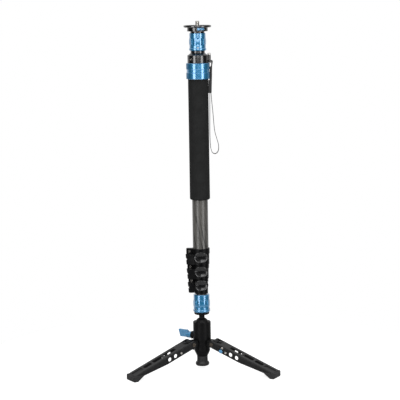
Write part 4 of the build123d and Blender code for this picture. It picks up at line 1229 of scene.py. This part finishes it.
leg = {
    "slope": 20.9, "depth": 16.8, "width": 34.0, "wall": 4.0, "web": 3.0, "length": 165.5, "kink": 79.3,
    "tipDepth": 8.3, "webStart": 12.5, "bump": 4.0, "bumpRise": 2.5, "bumpHalf": 4.5, "endBlock": 26.0,
    "slots": ((40.7, 32.0), (77.7, 26.0), (108.7, 21.0)), "slotWide": 13.5, "slotCorner": 3.5,
    "recess": (134.2, 27.5), "recessDeep": 1.4, "holes": (52.2, 68.7), "holeDrop": 0.6, "hole": 4.95,
    "button": 28.0, "buttonDrop": 3.2, "buttonHole": 3.08, "edge": 1.9,
    "pin": 3.08, "boss": 6.0, "bossGap": 0.3,
    "past": 20.0,  # how far a cutter reaches past the leg
}


def legBlank(name):
    half, length = leg["depth"] / 2, leg["length"]
    side = [(leg["kink"], -half), (length, half - leg["tipDepth"]), (length, half)]
    side += arc(0, 0, half, 90, 270, 28)
    return plate(name, side, "Y", -leg["width"] / 2, leg["width"])


def legPlace():
    slope = Matrix.Rotation(math.radians(leg["slope"]), 4, "Y")
    return Matrix.Translation((hinge["reach"] * mm, 0, hinge["level"] * mm)) @ slope


def makeLegArm():
    half, outer, past = leg["depth"] / 2, leg["width"] / 2, leg["past"]
    inner, webLow, bumpAt = outer - leg["wall"], half - leg["web"], leg["webStart"]
    arm = legBlank("legArm")
    soften(arm, leg["edge"], 4, 60)
    end = leg["length"] - leg["endBlock"]
    hollow = [(-past, -past), (end, -past), (end, webLow), (bumpAt, webLow), (bumpAt, past), (-past, past)]
    combine(arm, plate("hollow", hollow, "Y", -inner, 2 * inner))
    bump = acrossHole(bumpAt, half + leg["bumpRise"] - leg["bump"], leg["bumpHalf"], leg["bump"], 48)
    combine(bump, brick("under", (0, -past, -past), (bumpAt + past, past, webLow)))
    combine(arm, bump, "UNION")
    for side in (-1, 1):  # bosses that meet the hub's lug
        start, end = (0, side * (inner + 1), 0), (0, side * (hub["lugHalf"] + leg["bossGap"]), 0)
        combine(arm, barrel("boss", start, end, leg["boss"], 48), "UNION")
    wide = leg["slotWide"] / 2
    cuts = [(*slot, webLow - 1) for slot in leg["slots"]] + [(*leg["recess"], half - leg["recessDeep"])]
    for start, length, floor in cuts:
        low, high = (start, -wide, floor), (start + length, wide, past)
        combine(arm, roundedSlot("slot", low, high, leg["slotCorner"], 2))
    for at in leg["holes"]:
        combine(arm, acrossHole(at, -leg["holeDrop"], past, leg["hole"], 40))
    combine(arm, acrossHole(0, 0, past, leg["pin"]))
    at, level = leg["button"], -leg["buttonDrop"]
    combine(arm, barrel("buttonHole", (at, -past, level), (at, 0, level), leg["buttonHole"], 32))
    soften(arm, 0.3, 2, 40)
    arm.data.transform(legPlace())
    return arm


foot = {
    "wide": 37.0, "corner": 4.0, "toePast": 5.8, "heelInset": 15.0, "soleInset": 4.6, "heelHigh": 7.5,
    "toeHigh": 2.0, "toeMid": 9.0, "toeRound": 2.0, "endWall": 2.6, "edge": 1.2,
    "grooves": (2.0, 4.2, 6.4), "groove": 0.9,
}


def makeLegFoot():
    onLeg = legPlace()
    half = leg["depth"] / 2

    def legPoint(along, above):
        point = onLeg @ Vector((along * mm, 0, above * mm))
        return (point.x / mm, point.z / mm)

    tip = legPoint(leg["length"], 0)[0]
    toe = tip + foot["toePast"]
    sole, wide = tip - foot["soleInset"], foot["wide"] / 2
    side = [legPoint(leg["length"] - leg["endBlock"], half - leg["tipDepth"])]
    side += [(tip - foot["heelInset"], foot["heelHigh"])]
    side += [(sole, 0), (toe - foot["toeRound"], 0), (toe, foot["toeHigh"]), (toe, foot["toeMid"])]
    side += [legPoint(leg["length"] + foot["endWall"], half), legPoint(leg["length"], half)]
    piece = plate("legFoot", side, "Y", -wide, 2 * wide)
    plan = roundedSlot("plan", (hinge["reach"], -wide, -5), (toe, wide, 60), foot["corner"], 2)
    combine(piece, plan, "INTERSECT")
    blank = legBlank("blank")
    blank.data.transform(onLeg)
    combine(piece, blank)
    deep, past = foot["groove"], leg["past"]
    for inset in foot["grooves"]:
        start = sole + inset - deep / 2
        combine(piece, brick("groove", (start, -past, -2), (start + deep, past, deep)))
    soften(piece, foot["edge"], 4, 30)
    return piece


def makeLegs():
    arm, sole = makeLegArm(), makeLegFoot()
    firsts = ((arm, "legArm", "leg_arm", "grey_leg"), (sole, "legFoot", "leg_foot", "foot_rubber"))
    for number, degrees in enumerate(hinge["turns"], 1):
        for first, name, node, slot in firsts:
            piece = turnedAway(copied(first, f"{name}{number}"), degrees)
            give(piece, f"leg_{number}", [f"{node}_{number}"], slot)
    bpy.data.objects.remove(arm)
    bpy.data.objects.remove(sole)


makeLegs()
print("legs are made")


# the stitched tab that holds the strap


tab = {
    "thick": 5.2, "wide": 9.0, "inner": 27.0, "shoulder": 1.6, "shoulderDrop": 8.0,
    "eye": 2.8, "eyeHigh": 3.6, "lug": 25.6, "lean": 2.3, "leanStart": 12.0,
    "lining": 2.0, "liningHigh": 30.0,
    "layer": 0.35, "seamDeep": 0.7, "pin": 1.6,
    "stitch": 2.0, "thread": 0.3, "pitch": 3.1, "row": 2.9, "rows": 14, "firstStitch": 3.0,
}


def mapped(piece):
    # one map for the weave: along the strap and across it, in millimetres
    chart = piece.data.uv_layers.new(name="along")
    for loop in piece.data.loops:
        point = piece.data.vertices[loop.vertex_index].co
        chart.data[loop.index].uv = (point.z / mm, (point.y + point.x) / mm)


def tabLean(up):
    # the tab hangs in towards the grip, from its eye down
    low, high = span("strap_tab")
    start = high - tab["leanStart"]
    return tab["lean"] * mm * min(1, max(0, (start - up) / (start - low)))


def makeTab():
    low, high = span("strap_tab")
    neckLow = high - tab["eyeHigh"]
    inner = midX + tab["inner"]
    outer, middle = inner + tab["thick"], midY
    lugX = midX + tab["lug"]
    lined = inner - tab["lining"]  # below the collar a lining fills the space to the grip
    side = [(lined, low + 0.6), (lined + 0.6, low), (outer - 0.6, low), (outer, low + 0.6)]
    wide, bulge, deep = tab["wide"] / 2, tab["shoulder"], tab["seamDeep"]
    side += [(outer, neckLow - tab["shoulderDrop"]), (outer + bulge * 0.6, neckLow - 3)]
    side += [(outer + bulge, neckLow), (outer + bulge * 0.7, high - 1.2), (outer - 0.4, high)]
    side += [(lugX + 4.6, high), (lugX + 4.6, neckLow), (lugX + 4.4, neckLow - 9), (inner, neckLow - 12)]
    side += [(inner, low + tab["liningHigh"]), (lined, low + tab["liningHigh"] - tab["lining"])]
    tail = plate("strapTab", side, "Y", middle - wide, 2 * wide)
    seam, half = inner + tab["thick"] / 2, tab["layer"] / 2
    top = neckLow - 10
    for edge in (middle - wide, middle + wide):  # the fold's two layers part along their sides
        combine(tail, brick("gap", (seam - half, edge - deep, low - 1), (seam + half, edge + deep, top)))
    soften(tail, 0.3, 2, 34)
    eye, half = upright("eye", lugX, middle, neckLow, high, tab["eye"], 40), tab["eye"] - 0.05
    neck = brick("neck", (lugX, middle - half, neckLow + 0.02), (lugX + 5.4, middle + half, high - 0.02))
    combine(eye, neck, "UNION")
    combine(eye, upright("pinHole", lugX, middle, neckLow - 2, high + 2, tab["pin"]))
    soften(eye, 0.4, 2, 40)
    piece = joined([tail, eye])
    for point in piece.data.vertices:
        point.co.x -= tabLean(point.co.z / mm)
    mapped(piece)
    return give(piece, "section_1", ["strap_tab"], "webbing")


def makeStitches():
    low = span("strap_tab")[0]
    inner, middle = midX + tab["inner"], midY
    first = barrel("stitch", (0, 0, 0), (0, 0, tab["stitch"]), tab["thread"], 8)
    editing(first, "EDGE")
    pick(first, "edges", lambda e: abs(e.verts[0].co.z - e.verts[1].co.z) < 0.01 * mm)
    bpy.ops.mesh.bevel(offset=0.12 * mm, segments=2, affect="EDGES")
    done()
    copies = []
    for face in (inner, inner + tab["thick"]):
        for row in (-tab["row"], tab["row"]):
            for k in range(tab["rows"]):
                stitch = copied(first, "stitch")
                up = low + tab["firstStitch"] + k * tab["pitch"]
                lined = face == inner and up < low + tab["liningHigh"]
                seat = face - tab["lining"] if lined else face
                spot = Vector((seat, middle + row, up)) * mm - Vector((tabLean(up), 0, 0))
                stitch.data.transform(Matrix.Translation(spot))
                copies.append(stitch)
    bpy.data.objects.remove(first)
    piece = joined(copies)
    piece.name = "tabStitches"
    chosen(piece)
    bpy.ops.object.shade_smooth()
    mapped(piece)
    coated(piece, "webbing")
    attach(piece, "section_1")


makeTab()
makeStitches()
print("strap tab is made")
